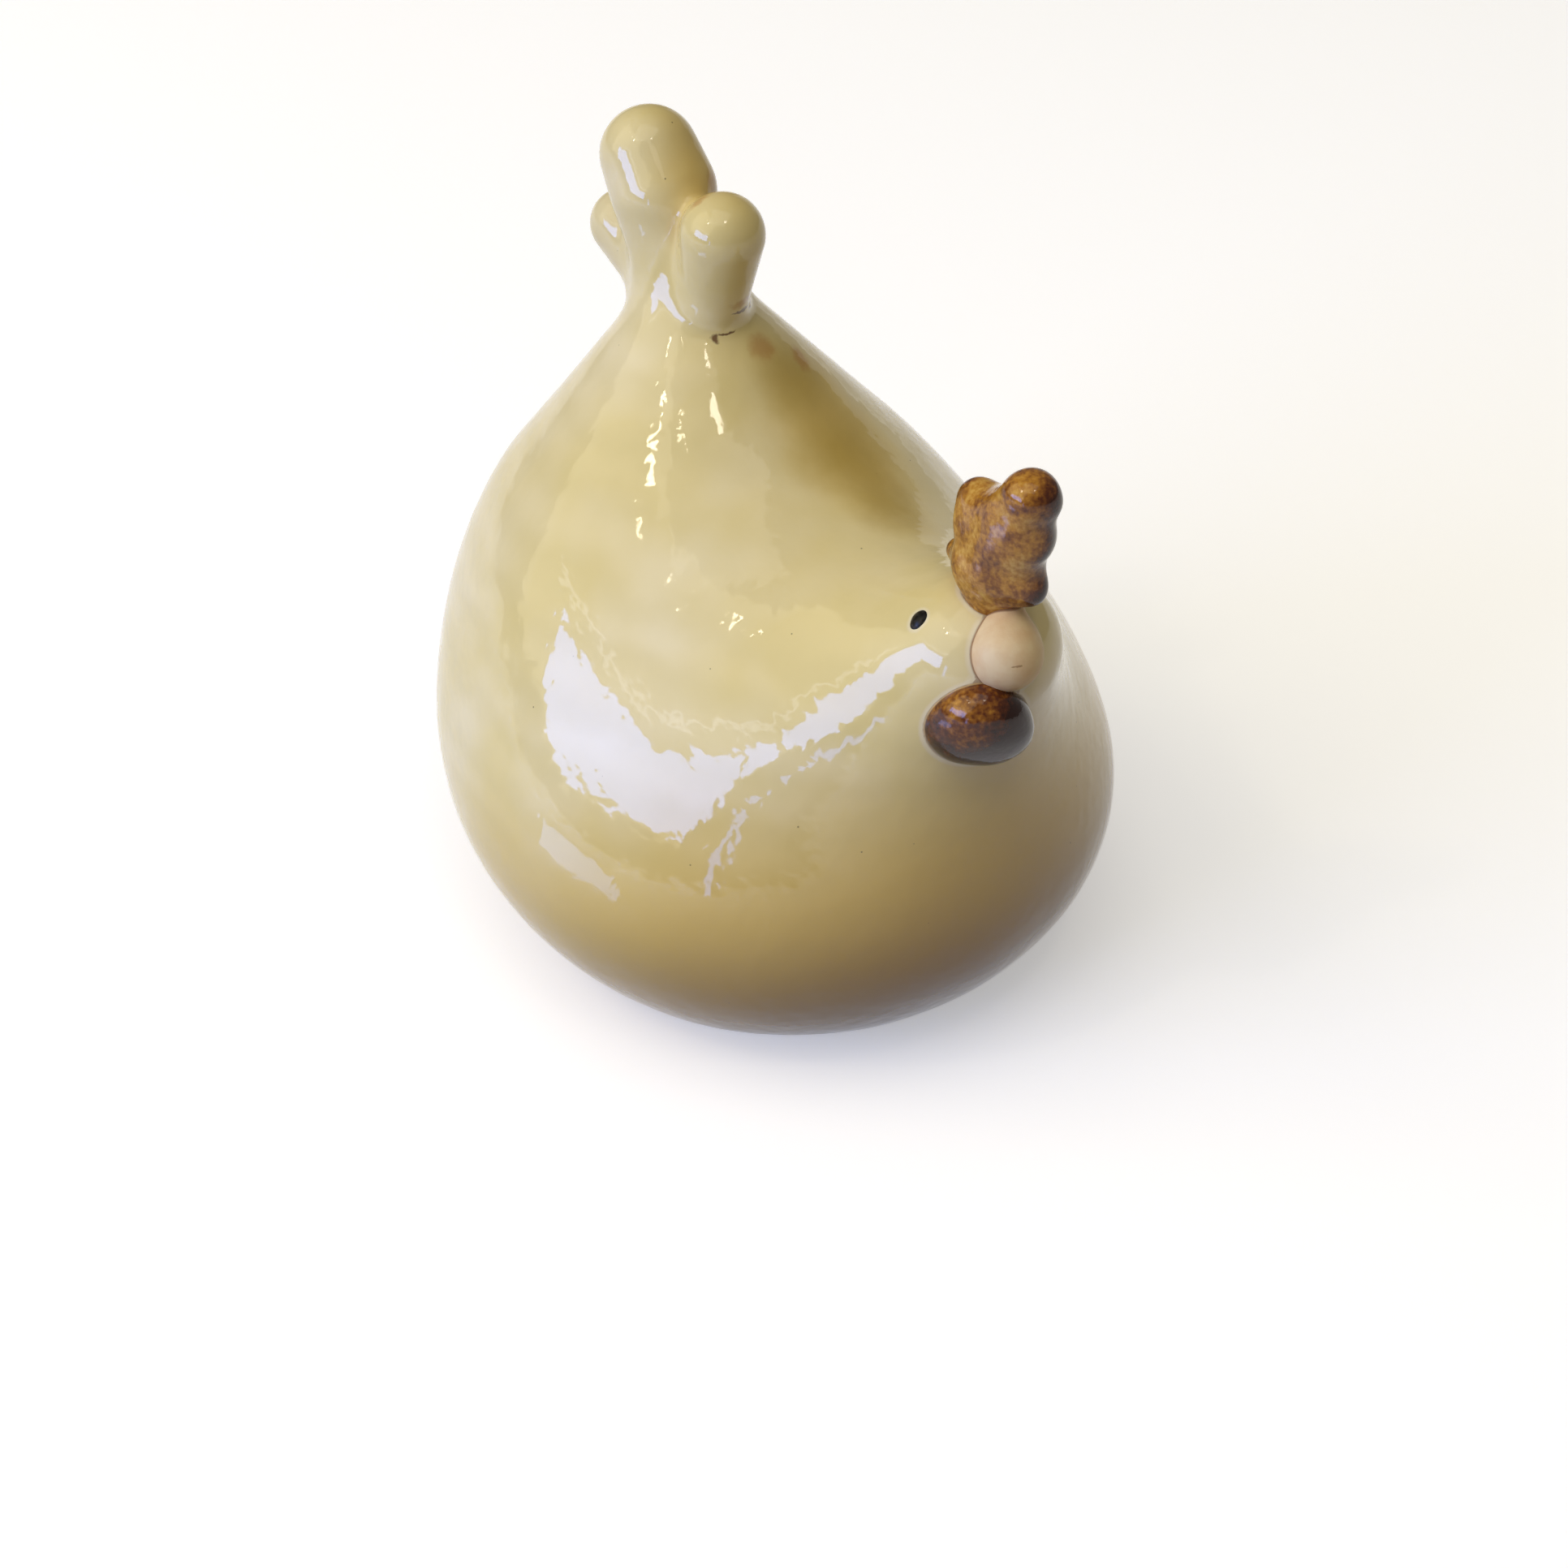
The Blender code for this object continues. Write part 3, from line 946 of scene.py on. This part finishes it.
@dataclass(frozen=True)
class BrownGlaze:
    """Iron-brown glaze brushed on the comb and wattle: glossy, amber where thick, near black at edges.

    Where a point falls between the stops is a base plus grains, patches and darkness (deeper glaze with
    painted shade), each times its share.
    """

    stops: tuple[tuple[float, str], ...] = (
        (0.0, "#2E0F06"),
        (0.3, "#5C2A0C"),
        (0.52, "#8C561A"),
        (0.75, "#B87F2A"),
        (1.0, "#D2A44A"),
    )
    base: float = 0.32
    grains: Grain = Grain(0.9, 0.3, 0.7, 4.0)
    grain_share: float = 0.38
    patches: Grain = Grain(5.0, 0.35, 0.65)
    patch_share: float = 0.34
    dark_and_shade_share: float = -0.62
    rim: Coat = Coat("seat", "#D9C08C", 0.1, 0.6, 0.6)
    relief: Relief = Relief(0.06, (Swell(1.6, 3.0),))
    roughness: float = 0.09
    specular: float = 0.4

    def make(self) -> bpy.types.Material:
        """Builds the material: grains and patches of amber, darkened by the piece's own attribute of glaze
        and painted shade.

        Returns:
            The material.
        """
        material, tree, shader = new_material("iron_brown_glaze")
        place = node(tree, "TexCoord").outputs["Object"]
        dark_and_shade = node(tree, "Attribute", attribute_name="dark_and_shade").outputs["Fac"]
        amount: Socket | float = self.base
        for factor, share in (
            (self.grains.cover(tree, place), self.grain_share),
            (self.patches.cover(tree, place), self.patch_share),
            (dark_and_shade, self.dark_and_shade_share),
        ):
            parts = {0: factor, 1: share, 2: amount}
            amount = node(tree, "Math", parts, operation="MULTIPLY_ADD").outputs[0]
        ramp = node(tree, "ValToRGB", {"Fac": amount})
        colours = ramp.color_ramp.elements
        for spot, _ in self.stops[1:-1]:
            colours.new(spot)
        for element, (spot, colour) in zip(colours, self.stops):
            element.position, element.color = spot, srgb(colour)
        self.relief.press(tree, place, shader)
        feed(tree, shader, {"Base Color": self.rim.over(tree, ramp.outputs["Color"])})
        feed(tree, shader, {"Specular IOR Level": self.specular, "Roughness": self.roughness})
        return material


@dataclass(frozen=True)
class PeachClay:
    """Peach clay left without glaze on the beak: dull and finely grained, with a brown line at its seat."""

    clay: str = "#E8D0A2"
    flushed: str = "#DFBE8E"
    flush: Grain = Grain(3.0, 0.35, 0.7, 5.0)
    scratch_edge: Warp = Warp(0.8, 0.6)
    scratches: Stains = Stains(BROWN_LINE, 0.6, (Blot((-5.6, -70.6, 93.2), (1.2, 0.8, 0.22), 0.6),))
    pressed: Coat = Coat("seat", BROWN_LINE, 0.15, 0.5, 0.85)
    relief: Relief = Relief(0.03, (Swell(0.35, 3.0),))
    roughness: float = 0.55

    def make(self) -> bpy.types.Material:
        """Builds the material: clouds of flush, a scratch, the pressed line and a fine grain.

        Returns:
            The material.
        """
        material, tree, shader = new_material("peach_bisque")
        place = node(tree, "TexCoord").outputs["Object"]
        colour = laid(tree, self.clay, self.flushed, self.flush.cover(tree, place))
        colour = self.scratches.over(tree, colour, self.scratch_edge.push(tree, place))
        colour = self.pressed.over(tree, colour)
        self.relief.press(tree, place, shader)
        feed(tree, shader, {"Base Color": colour, "Roughness": self.roughness})
        return material


@dataclass(frozen=True)
class BlackGlaze:
    """Black glaze dotted on with a brush for the eyes: low gloss, a little grey where the brush dragged."""

    black: str = "#0C0A08"
    dragged: str = "#35322E"
    streaks: Grain = Grain(0.5, 0.5, 0.75)
    roughness: float = 0.3
    specular: float = 0.2

    def make(self) -> bpy.types.Material:
        """Builds the material: streaks of thinner black.

        Returns:
            The material.
        """
        material, tree, shader = new_material("black_glaze_dot")
        place = node(tree, "TexCoord").outputs["Object"]
        colour = laid(tree, self.black, self.dragged, self.streaks.cover(tree, place))
        feed(tree, shader, {"Base Color": colour, "Roughness": self.roughness})
        feed(tree, shader, {"Specular IOR Level": self.specular})
        return material


@dataclass(frozen=True)
class BareClay:
    """Fired clay without glaze, on the foot and inside the hollow: dull, sandy, buff."""

    clay: str = "#CDAA82"
    sand: str = "#B08A62"
    grain: Grain = Grain(1.2, 0.4, 0.7, 4.0)
    grain_height: float = 0.08 * MM
    roughness: float = 0.85

    def make(self) -> bpy.types.Material:
        """Builds the material: sandy grain in colour and relief.

        Returns:
            The material.
        """
        material, tree, shader = new_material("bare_earthenware")
        grain = self.grain.cover(tree, node(tree, "TexCoord").outputs["Object"])
        colour = laid(tree, self.clay, self.sand, grain)
        bump = node(tree, "Bump", {"Height": grain, "Distance": self.grain_height}).outputs["Normal"]
        feed(tree, shader, {"Base Color": colour, "Normal": bump, "Roughness": self.roughness})
        return material


@dataclass
class Comb:
    """The comb, pinched into lobes and pressed on the crown."""

    form: BodyForm
    forward: float = 3.6
    weld: float = 4.0 * MM
    heart: float = 7.0 * MM
    middle: tuple[Ball, ...] = (Ball(0.0, 0.0, 4.7), Ball(0.0, 6.4, 5.6), Ball(-18.0, 22.8, 5.1))
    others: tuple[tuple[Ball, ...], ...] = (
        (Ball(25.0, 7.0, 4.6), Ball(16.5, 16.4, 3.6)),
        (Ball(15.0, 13.0, 3.8), Ball(-8.0, 16.0, 4.6)),
        (Ball(-20.0, 8.0, 4.5), Ball(-29.0, 15.8, 3.6)),
        (Ball(-30.0, 5.0, 4.2), Ball(-58.0, 9.8, 2.8)),
        (Ball(30.0, 4.0, 4.4), Ball(68.0, 9.8, 2.0)),
    )
    dents: Dents = Dents(0.16, 6.0, 0.12, 8)
    rows: int = 150
    columns: int = 200
    bend_span: float = 1.2 * MM
    bulge_start: float = 0.35
    bulge_span: float = 0.2
    bulge_dark: float = 0.35
    # Painted shade: the comb darkens towards its left front.
    shaded_left_front: tuple[float, float, float] = (0.8, -0.6, 0.0)
    front_start: float = 3.0
    front_span: float = 7.0
    most_front_shade: float = 0.9

    @cached_property
    def hub(self) -> np.ndarray:
        """The point on the crown that the lobes fan out from."""
        return follow(self.form.trunk, self.form.head.end - at(0, self.forward, 0), UP)

    def clay(self, points: np.ndarray) -> np.ndarray:
        """The lobes, welded together, with the fingers' dents.

        Args:
            points: Places, in metres.

        Returns:
            The field's value at each place.
        """
        joined = Chain(self.hub, self.middle)(points)
        for lobe in self.others:
            joined = smooth_union(joined, Chain(self.hub, lobe)(points), self.weld)
        return joined + self.dents(points)

    def build(self) -> None:
        """Lays out the comb's skin and notes its darkness: deeper glaze on bulges, painted shade at the left
        front.

        On bulges it rises from 0 to a most over a span of bend per millimetre. Towards the left front the
        painted shade rises by one over a span of millimetres, from a start off the hub, and no further than
        its most.
        """
        axis = leaning(self.middle[-1].lean)
        heart = self.hub + UP * self.heart
        glaze = BrownGlaze().make()
        piece = lump("comb", self.clay, heart, axis, self.rows, self.columns, glaze)
        points = points_of(piece)
        bulge = bending(self.clay, points, self.bend_span) * MM
        aside = (points - self.hub) @ np.array(self.shaded_left_front) / MM
        on_bulges = self.bulge_dark * np.clip((bulge - self.bulge_start) / self.bulge_span, 0.0, 1.0)
        painted_front_shade = np.clip((aside - self.front_start) / self.front_span, 0.0, self.most_front_shade)
        note(piece, "dark_and_shade", on_bulges + painted_front_shade)
        note(piece, "seat", self.form.trunk(points) / MM + 1.0)


@dataclass
class Beak:
    """The beak: a ball with a short bridge up to the front of the comb."""

    form: BodyForm
    comb: Comb
    radius: float = 6.3 * MM
    turn: float = 16.5
    climb: float = 30.0
    sink: float = 1.4 * MM
    bridge_radius: float = 2.2 * MM
    weld: float = 3.0 * MM
    dents: Dents = Dents(0.06, 7.0, 0.1, 5)
    rows: int = 90
    columns: int = 140

    @cached_property
    def middle(self) -> np.ndarray:
        """The ball's centre."""
        seat, way = self.form.on_head(self.turn, self.climb)
        return seat - way * self.sink

    @cached_property
    def bridge_end(self) -> np.ndarray:
        """Where the bridge meets the comb."""
        return self.comb.hub - at(0, self.comb.forward, 0)

    def clay(self, points: np.ndarray) -> np.ndarray:
        """Ball and bridge, welded.

        Args:
            points: Places, in metres.

        Returns:
            The field's value at each place.
        """
        ball = np.linalg.norm(points - self.middle, axis=-1) - self.radius
        bridge = Roll(self.middle, self.bridge_end, self.bridge_radius * 2, self.bridge_radius)
        return smooth_union(ball, bridge(points), self.weld) + self.dents(points)

    def build(self) -> None:
        """Lays out the beak's skin and notes its distance from the head and the comb."""
        axis = self.bridge_end - self.middle
        clay = PeachClay().make()
        piece = lump("beak", self.clay, self.middle, axis, self.rows, self.columns, clay)
        points = points_of(piece)
        note(piece, "seat", np.minimum(self.form.trunk(points), self.comb.clay(points)) / MM)


@dataclass
class Wattle:
    """The wattle: a flattened bean pressed on under the beak, broader below."""

    form: BodyForm
    width: float = 18.4
    height: float = 18.8
    thickness: float = 13.0
    taper: float = 0.18
    turn: float = 38.0
    climb: float = -24.0
    sink: float = 0.6 * MM
    dents: Dents = Dents(0.14, 8.0, 0.15, 21)
    rows: int = 90
    columns: int = 140
    dark_and_shade: float = 1.3
    # Painted shade: darker low down and on the hen's left.
    shade_by_height: float = -0.85
    shade_by_side: float = -0.6
    dark_uneven: float = 0.18
    most_dark: float = 1.35

    @cached_property
    def bean(self) -> Egg:
        """The bean, square to the way out of the head: its own X lies across, Y outwards and Z upwards.

        Returns:
            Its field.
        """
        seat, way = self.form.on_head(self.turn, self.climb)
        side = unit(np.cross(way, UP))
        own = np.array([side, way, np.cross(side, way)])
        half_sizes = at(self.width, self.thickness, self.height) / 2
        return Egg(seat - way * self.sink, half_sizes, own, self.taper)

    def clay(self, points: np.ndarray) -> np.ndarray:
        """The bean with a fingertip's unevenness."""
        return self.bean(points) + self.dents(points)

    def build(self) -> None:
        """Lays out the wattle's skin and notes its darkness: deep glaze overall, and painted shade low down
        and on the hen's left.

        It is a level plus painted shade, a share of the height and one of the way across, both over the
        bean's half sizes, plus a ripple, and is kept from 0 to a most.
        """
        bean = self.bean
        glaze = BrownGlaze().make()
        piece = lump("wattle", self.clay, bean.centre, bean.frame[0], self.rows, self.columns, glaze)
        points = points_of(piece)
        own = (points - bean.centre) @ bean.frame.T / bean.half_sizes
        uneven = self.dark_uneven * ripple(points, 5.0 * MM, 33)
        dark_and_shade = self.dark_and_shade + self.shade_by_height * own[:, 2] + self.shade_by_side * own[:, 0] + uneven
        note(piece, "dark_and_shade", np.clip(dark_and_shade, 0.0, self.most_dark))
        note(piece, "seat", self.form.trunk(points) / MM)


class Side(Enum):
    """The hen's right or left, by how far round from the front the eye sits."""

    RIGHT = 104.0
    LEFT = -76.0


@dataclass
class Eye:
    """A dot of black glaze that stands a little proud of the head."""

    form: BodyForm
    side: Side
    width: float = 3.8
    height: float = 4.5
    proud: float = 0.45
    sink: float = 1.0
    climb: float = 38.0
    dents: Dents = Dents(0.06, 3.0, 0.03, 13)
    rows: int = 40
    columns: int = 64

    @cached_property
    def dot(self) -> Egg:
        """The dot, square to the way out of the head: its own X lies across, Y outwards and Z upwards.

        Returns:
            Its field.
        """
        seat, way = self.form.on_head(self.side.value, self.climb)
        across = unit(np.cross(way, UP))
        own = np.array([across, way, np.cross(across, way)])
        half_sizes = at(self.width / 2, self.proud + self.sink, self.height / 2)
        return Egg(seat - way * self.sink * MM, half_sizes, own)

    def clay(self, points: np.ndarray) -> np.ndarray:
        """The dot, a little uneven as a brush leaves it."""
        return self.dot(points) + self.dents(points)

    def build(self) -> None:
        """Lays out the dot's skin."""
        name = f"eye_{self.side.name.lower()}"
        glaze = BlackGlaze().make()
        lump(name, self.clay, self.dot.centre, self.dot.frame[1], self.rows, self.columns, glaze)


@dataclass
class Casting:
    """The hollow casting: foot, body and tail, in one closed skin."""

    form: BodyForm
    columns: int = 352
    body_rows: int = 146
    tail_rows: int = 84
    hollow_rows: int = 18
    trial_rows: int = 241
    crowd_to_head: float = 0.5
    pour_hole_radius: float = 8.5 * MM
    centre: np.ndarray = field(default_factory=lambda: at(0, 0, 44.3))
    neck: np.ndarray = field(default_factory=lambda: at(0, 25.5, 105.0))
    bend_span: float = 1.5 * MM
    low_from_behind: float = 42.0
    low_from_front: float = 80.0
    low_waver: float = 2.5
    low_turn: float = 10.0
    low_behind: float = 0.35

    def build(self, comb: Comb, beak: Beak, wattle: Wattle, eyes: list[Eye]) -> None:
        """Lays out the skin from the pour hole round the foot to the tail tip, and the hollow within.

        Args:
            comb: The comb, whose seat the glaze's edge follows, as it does the next three.
            beak: The beak.
            wattle: The wattle.
            eyes: Both eyes.
        """
        form, columns, skin = self.form, self.columns, Skin()
        even = np.arange(columns) * 2 * np.pi / columns
        outwards = ring(even - self.crowd_to_head * np.sin(even), UP)
        centre, hub = self.centre, form.tail_hub
        hole = self.pour_hole_radius * outwards

        # Foot: the pour hole's rim and the flat ring round it
        edge = follow(form.rounding_start, np.zeros(3), outwards)
        foot = np.stack([hole, (hole + edge) / 2, edge])

        # Body, from the foot's edge to the collar, then the tail, from the collar to its tip
        collar = follow(form.casting, self.neck, outwards)
        trials = between(edge - centre, collar - centre, np.linspace(0.0, 1.0, self.trial_rows))
        shares = even_shares(follow(form.with_foot, centre, trials, 40), self.body_rows)
        body = follow(form.casting, centre, between(edge - centre, collar - centre, shares))
        spine = leaning(form.middle_feather[-1].lean)
        shares = np.arange(1, self.tail_rows) / self.tail_rows
        tail = follow(form.casting, hub, between(collar - hub, spine[None, :], shares))
        outer = np.concatenate([foot, body, collar[None], tail])
        skin.add(outer)
        tip = skin.add(follow(form.casting, hub, spine[None, :]))
        faces = grid_faces(len(outer), columns)
        foot_faces = 2 * columns
        skin.face(faces[:foot_faces], 1)
        skin.face(faces[foot_faces:])
        skin.face(fan_faces((len(outer) - 1) * columns, columns, tip))

        # Hollow: from the pour hole's inner rim to its crown, and the hole's own wall
        rim = hole + UP * form.foot_thickness
        shares = np.arange(1, self.hollow_rows) / self.hollow_rows
        inside = follow(form.hollow, centre, between(rim - centre, UP[None, :], shares))
        lining = np.concatenate([rim[None], inside])
        first = skin.add(lining)
        crown = skin.add(follow(form.hollow, centre, UP[None, :]))
        skin.face(grid_faces(len(lining), columns, first)[:, ::-1], 1)
        skin.face(fan_faces(first + (len(lining) - 1) * columns, columns, crown)[:, ::-1], 1)
        here = np.arange(columns)
        after = (here + 1) % columns
        skin.face(np.stack([here, first + here, first + after, after], axis=-1)[:, ::-1], 1)

        piece = skin.make("hen_skin", form.casting, [CreamGlaze().make(), BareClay().make()])
        points = points_of(piece)
        lumps = np.minimum(comb.clay(points), wattle.clay(points))
        note(piece, "lump_gap", np.minimum(lumps, beak.clay(points)) / MM)
        note(piece, "eye_gap", np.minimum(eyes[0].clay(points), eyes[1].clay(points)) / MM)
        self.describe(piece, points)

    def describe(self, piece: bpy.types.Object, points: np.ndarray) -> None:
        """Notes the bend of the surface, per millimetre, and how low it is: 0 high up, up to 1 at the foot.

        Lowness starts higher in front than behind and wavers a little. Behind it counts for a third, so the
        lower coats, honey glaze with painted shade, darken the front and foot most.

        Args:
            piece: The casting's skin.
            points: Its points, in metres.
        """
        note(piece, "bend", bending(self.form.with_tail, points, self.bend_span) * MM)
        turn = np.arctan2(points[:, 0], -points[:, 1])
        front = (1.0 + np.cos(turn - np.radians(self.low_turn))) / 2
        start = self.low_from_behind + (self.low_from_front - self.low_from_behind) * front
        start = start + self.low_waver * ripple(points, 30.0 * MM, 44)
        # Lowness carries the lower coats: honey glaze and painted shade.
        low = np.clip((start - points[:, 2] / MM) / start, 0.0, 1.0)
        note(piece, "low", low * (self.low_behind + (1.0 - self.low_behind) * front))


@dataclass(frozen=True)
class Panel:
    """A rectangular soft light that faces the hen.

    Its azimuth is in degrees from the front, positive to the hen's left, its elevation in degrees above
    level, and its distance and size in metres. A radiance of 1 is white.
    """

    name: str
    azimuth: float
    elevation: float
    distance: float
    size: tuple[float, float]
    radiance: float
    colour: str


@dataclass
class Studio:
    """A white floor, a soft sky, a broad window light on the hen's right and the photograph's camera."""

    azimuth: float = -37.65
    elevation: float = 36.6
    distance: float = 506.3 * MM
    target: np.ndarray = field(default_factory=lambda: at(0, -1.07, 43.3))
    focal_pixels: float = 3300.0
    frame_pixels: float = 1932.0
    axis_pixel: tuple[float, float] = (961.0, 861.5)
    lit_point: np.ndarray = field(default_factory=lambda: at(0, 0, 45))
    sky: str = "#FFFBF2"
    sky_strength: float = 0.26
    floor_half: float = 6.0
    floor_unseen: str = "#7A6646"
    floor_white: str = "#FFFFFF"
    floor_glow: float = 0.36
    floor_roughness: float = 0.9
    panels: tuple[Panel, ...] = (
        Panel("window", -98.0, 15.8, 1.3, (0.95, 0.30), 9.5, "#7AA2FF"),
        Panel("window_edge", -70.0, 2.5, 1.3, (0.07, 0.40), 6.5, "#7AA2FF"),
        Panel("bright_wall", -108.0, 34.0, 2.2, (2.6, 2.2), 1.35, "#FFF2CE"),
        Panel("far_wall", 118.0, 3.5, 2.4, (1.3, 0.9), 0.4, "#F4F1EC"),
        Panel("ceiling", -60.0, 74.0, 2.4, (1.8, 1.8), 1.05, "#FFF9EC"),
        Panel("low_sheen", -97.0, -9.5, 0.2, (0.08, 0.032), 4.0, "#8EB0FF"),
        Panel("upper_shelf", -98.0, 27.0, 1.3, (1.15, 0.035), 2.2, "#E6ECFF"),
        Panel("lamp_first", -94.5, 51.0, 1.6, (0.07, 0.13), 26.0, "#FFEFD0"),
        Panel("lamp_second", -108.5, 52.5, 1.6, (0.03, 0.07), 22.0, "#FFEFD0"),
        Panel("lamp_third", -66.0, 59.0, 1.6, (0.02, 0.05), 22.0, "#FFEFD0"),
        Panel("lamp_high", -19.0, 63.0, 1.6, (0.10, 0.13), 14.0, "#FFF4E0"),
    )

    def facing(self, azimuth: float, elevation: float) -> list[np.ndarray]:
        """Turns a camera or a light towards the hen.

        Args:
            azimuth: Degrees round from the front, positive to the hen's left.
            elevation: Degrees above level.

        Returns:
            Its own axes: right, up and back.
        """
        a, e = np.radians(azimuth), np.radians(elevation)
        back = np.array([np.sin(a) * np.cos(e), -np.cos(a) * np.cos(e), np.sin(e)])
        right = np.array([np.cos(a), np.sin(a), 0.0])
        return [right, np.cross(back, right), back]

    def place(
        self, name: str, data: bpy.types.ID, axes: list[np.ndarray], where: np.ndarray
    ) -> bpy.types.Object:
        """Adds a camera or a light.

        Args:
            name: The object's name.
            data: Its camera or light.
            axes: Its right, up and back.
            where: Its place, in metres.

        Returns:
            The new object.
        """
        thing = bpy.data.objects.new(name, data)
        bpy.context.scene.collection.objects.link(thing)
        rows = [[*(column[i] for column in (*axes, where))] for i in range(3)]
        thing.matrix_world = Matrix(rows + [[0, 0, 0, 1]])
        return thing

    def camera(self) -> None:
        """Places the camera where the photograph was taken from."""
        axes = self.facing(self.azimuth, self.elevation)
        data = bpy.data.cameras.new("camera")
        data.sensor_width = 36.0
        data.lens = self.focal_pixels / self.frame_pixels * data.sensor_width
        data.shift_x = (self.frame_pixels / 2 - self.axis_pixel[0]) / self.frame_pixels
        data.shift_y = (self.axis_pixel[1] - self.frame_pixels / 2) / self.frame_pixels
        data.clip_start = 0.01
        where = self.target + self.distance * axes[2]
        bpy.context.scene.camera = self.place("camera", data, axes, where)

    def lights(self) -> None:
        """The panels and the sky."""
        for panel in self.panels:
            data = bpy.data.lights.new(panel.name, "AREA")
            data.shape = "RECTANGLE"
            data.size, data.size_y = panel.size
            data.energy = panel.radiance * np.pi * panel.size[0] * panel.size[1]
            data.color = srgb(panel.colour)[:3]
            axes = self.facing(panel.azimuth, panel.elevation)
            self.place(panel.name, data, axes, self.lit_point + axes[2] * panel.distance)
        world = bpy.data.worlds.new("soft_sky")
        bpy.context.scene.world = world
        world.use_nodes = True
        background = world.node_tree.nodes["Background"]
        background.inputs["Color"].default_value = srgb(self.sky)
        background.inputs["Strength"].default_value = self.sky_strength

    def floor(self) -> None:
        """Lays a plain floor: white where it is seen, also in the glaze, and warm grey as it lights clay."""
        data = bpy.data.meshes.new("floor")
        half = self.floor_half
        corners = [(-half, -half, 0), (half, -half, 0), (half, half, 0), (-half, half, 0)]
        data.from_pydata(corners, [], [(0, 1, 2, 3)])
        material, tree, shader = new_material("white_floor")
        path = node(tree, "LightPath").outputs
        seen = path["Is Camera Ray"]
        for ray in ("Is Glossy Ray", "Is Transmission Ray"):
            seen = node(tree, "Math", {0: seen, 1: path[ray]}, operation="MAXIMUM").outputs[0]
        colour = laid(tree, self.floor_unseen, self.floor_white, seen)
        glow = node(tree, "Math", {0: seen, 1: self.floor_glow}, operation="MULTIPLY").outputs[0]
        white = srgb(self.floor_white)
        feed(tree, shader, {"Base Color": colour, "Emission Strength": glow, "Emission Color": white})
        feed(tree, shader, {"Roughness": self.floor_roughness, "Specular IOR Level": 0.0})
        data.materials.append(material)
        floor = bpy.data.objects.new("floor", data)
        bpy.context.scene.collection.objects.link(floor)

    def build(self) -> None:
        """Sets up camera, lights and floor."""
        self.camera()
        self.lights()
        self.floor()
        bpy.context.scene.view_settings.view_transform = "Standard"


def main() -> None:
    logging.basicConfig(level=logging.INFO, format="%(name)s: %(message)s")
    form = BodyForm()
    comb = Comb(form)
    beak = Beak(form, comb)
    wattle = Wattle(form)
    eyes = [Eye(form, side) for side in Side]
    Casting(form).build(comb, beak, wattle, eyes)
    for piece in (comb, beak, wattle, *eyes):
        piece.build()
    Studio().build()


if __name__ == "__main__":
    main()
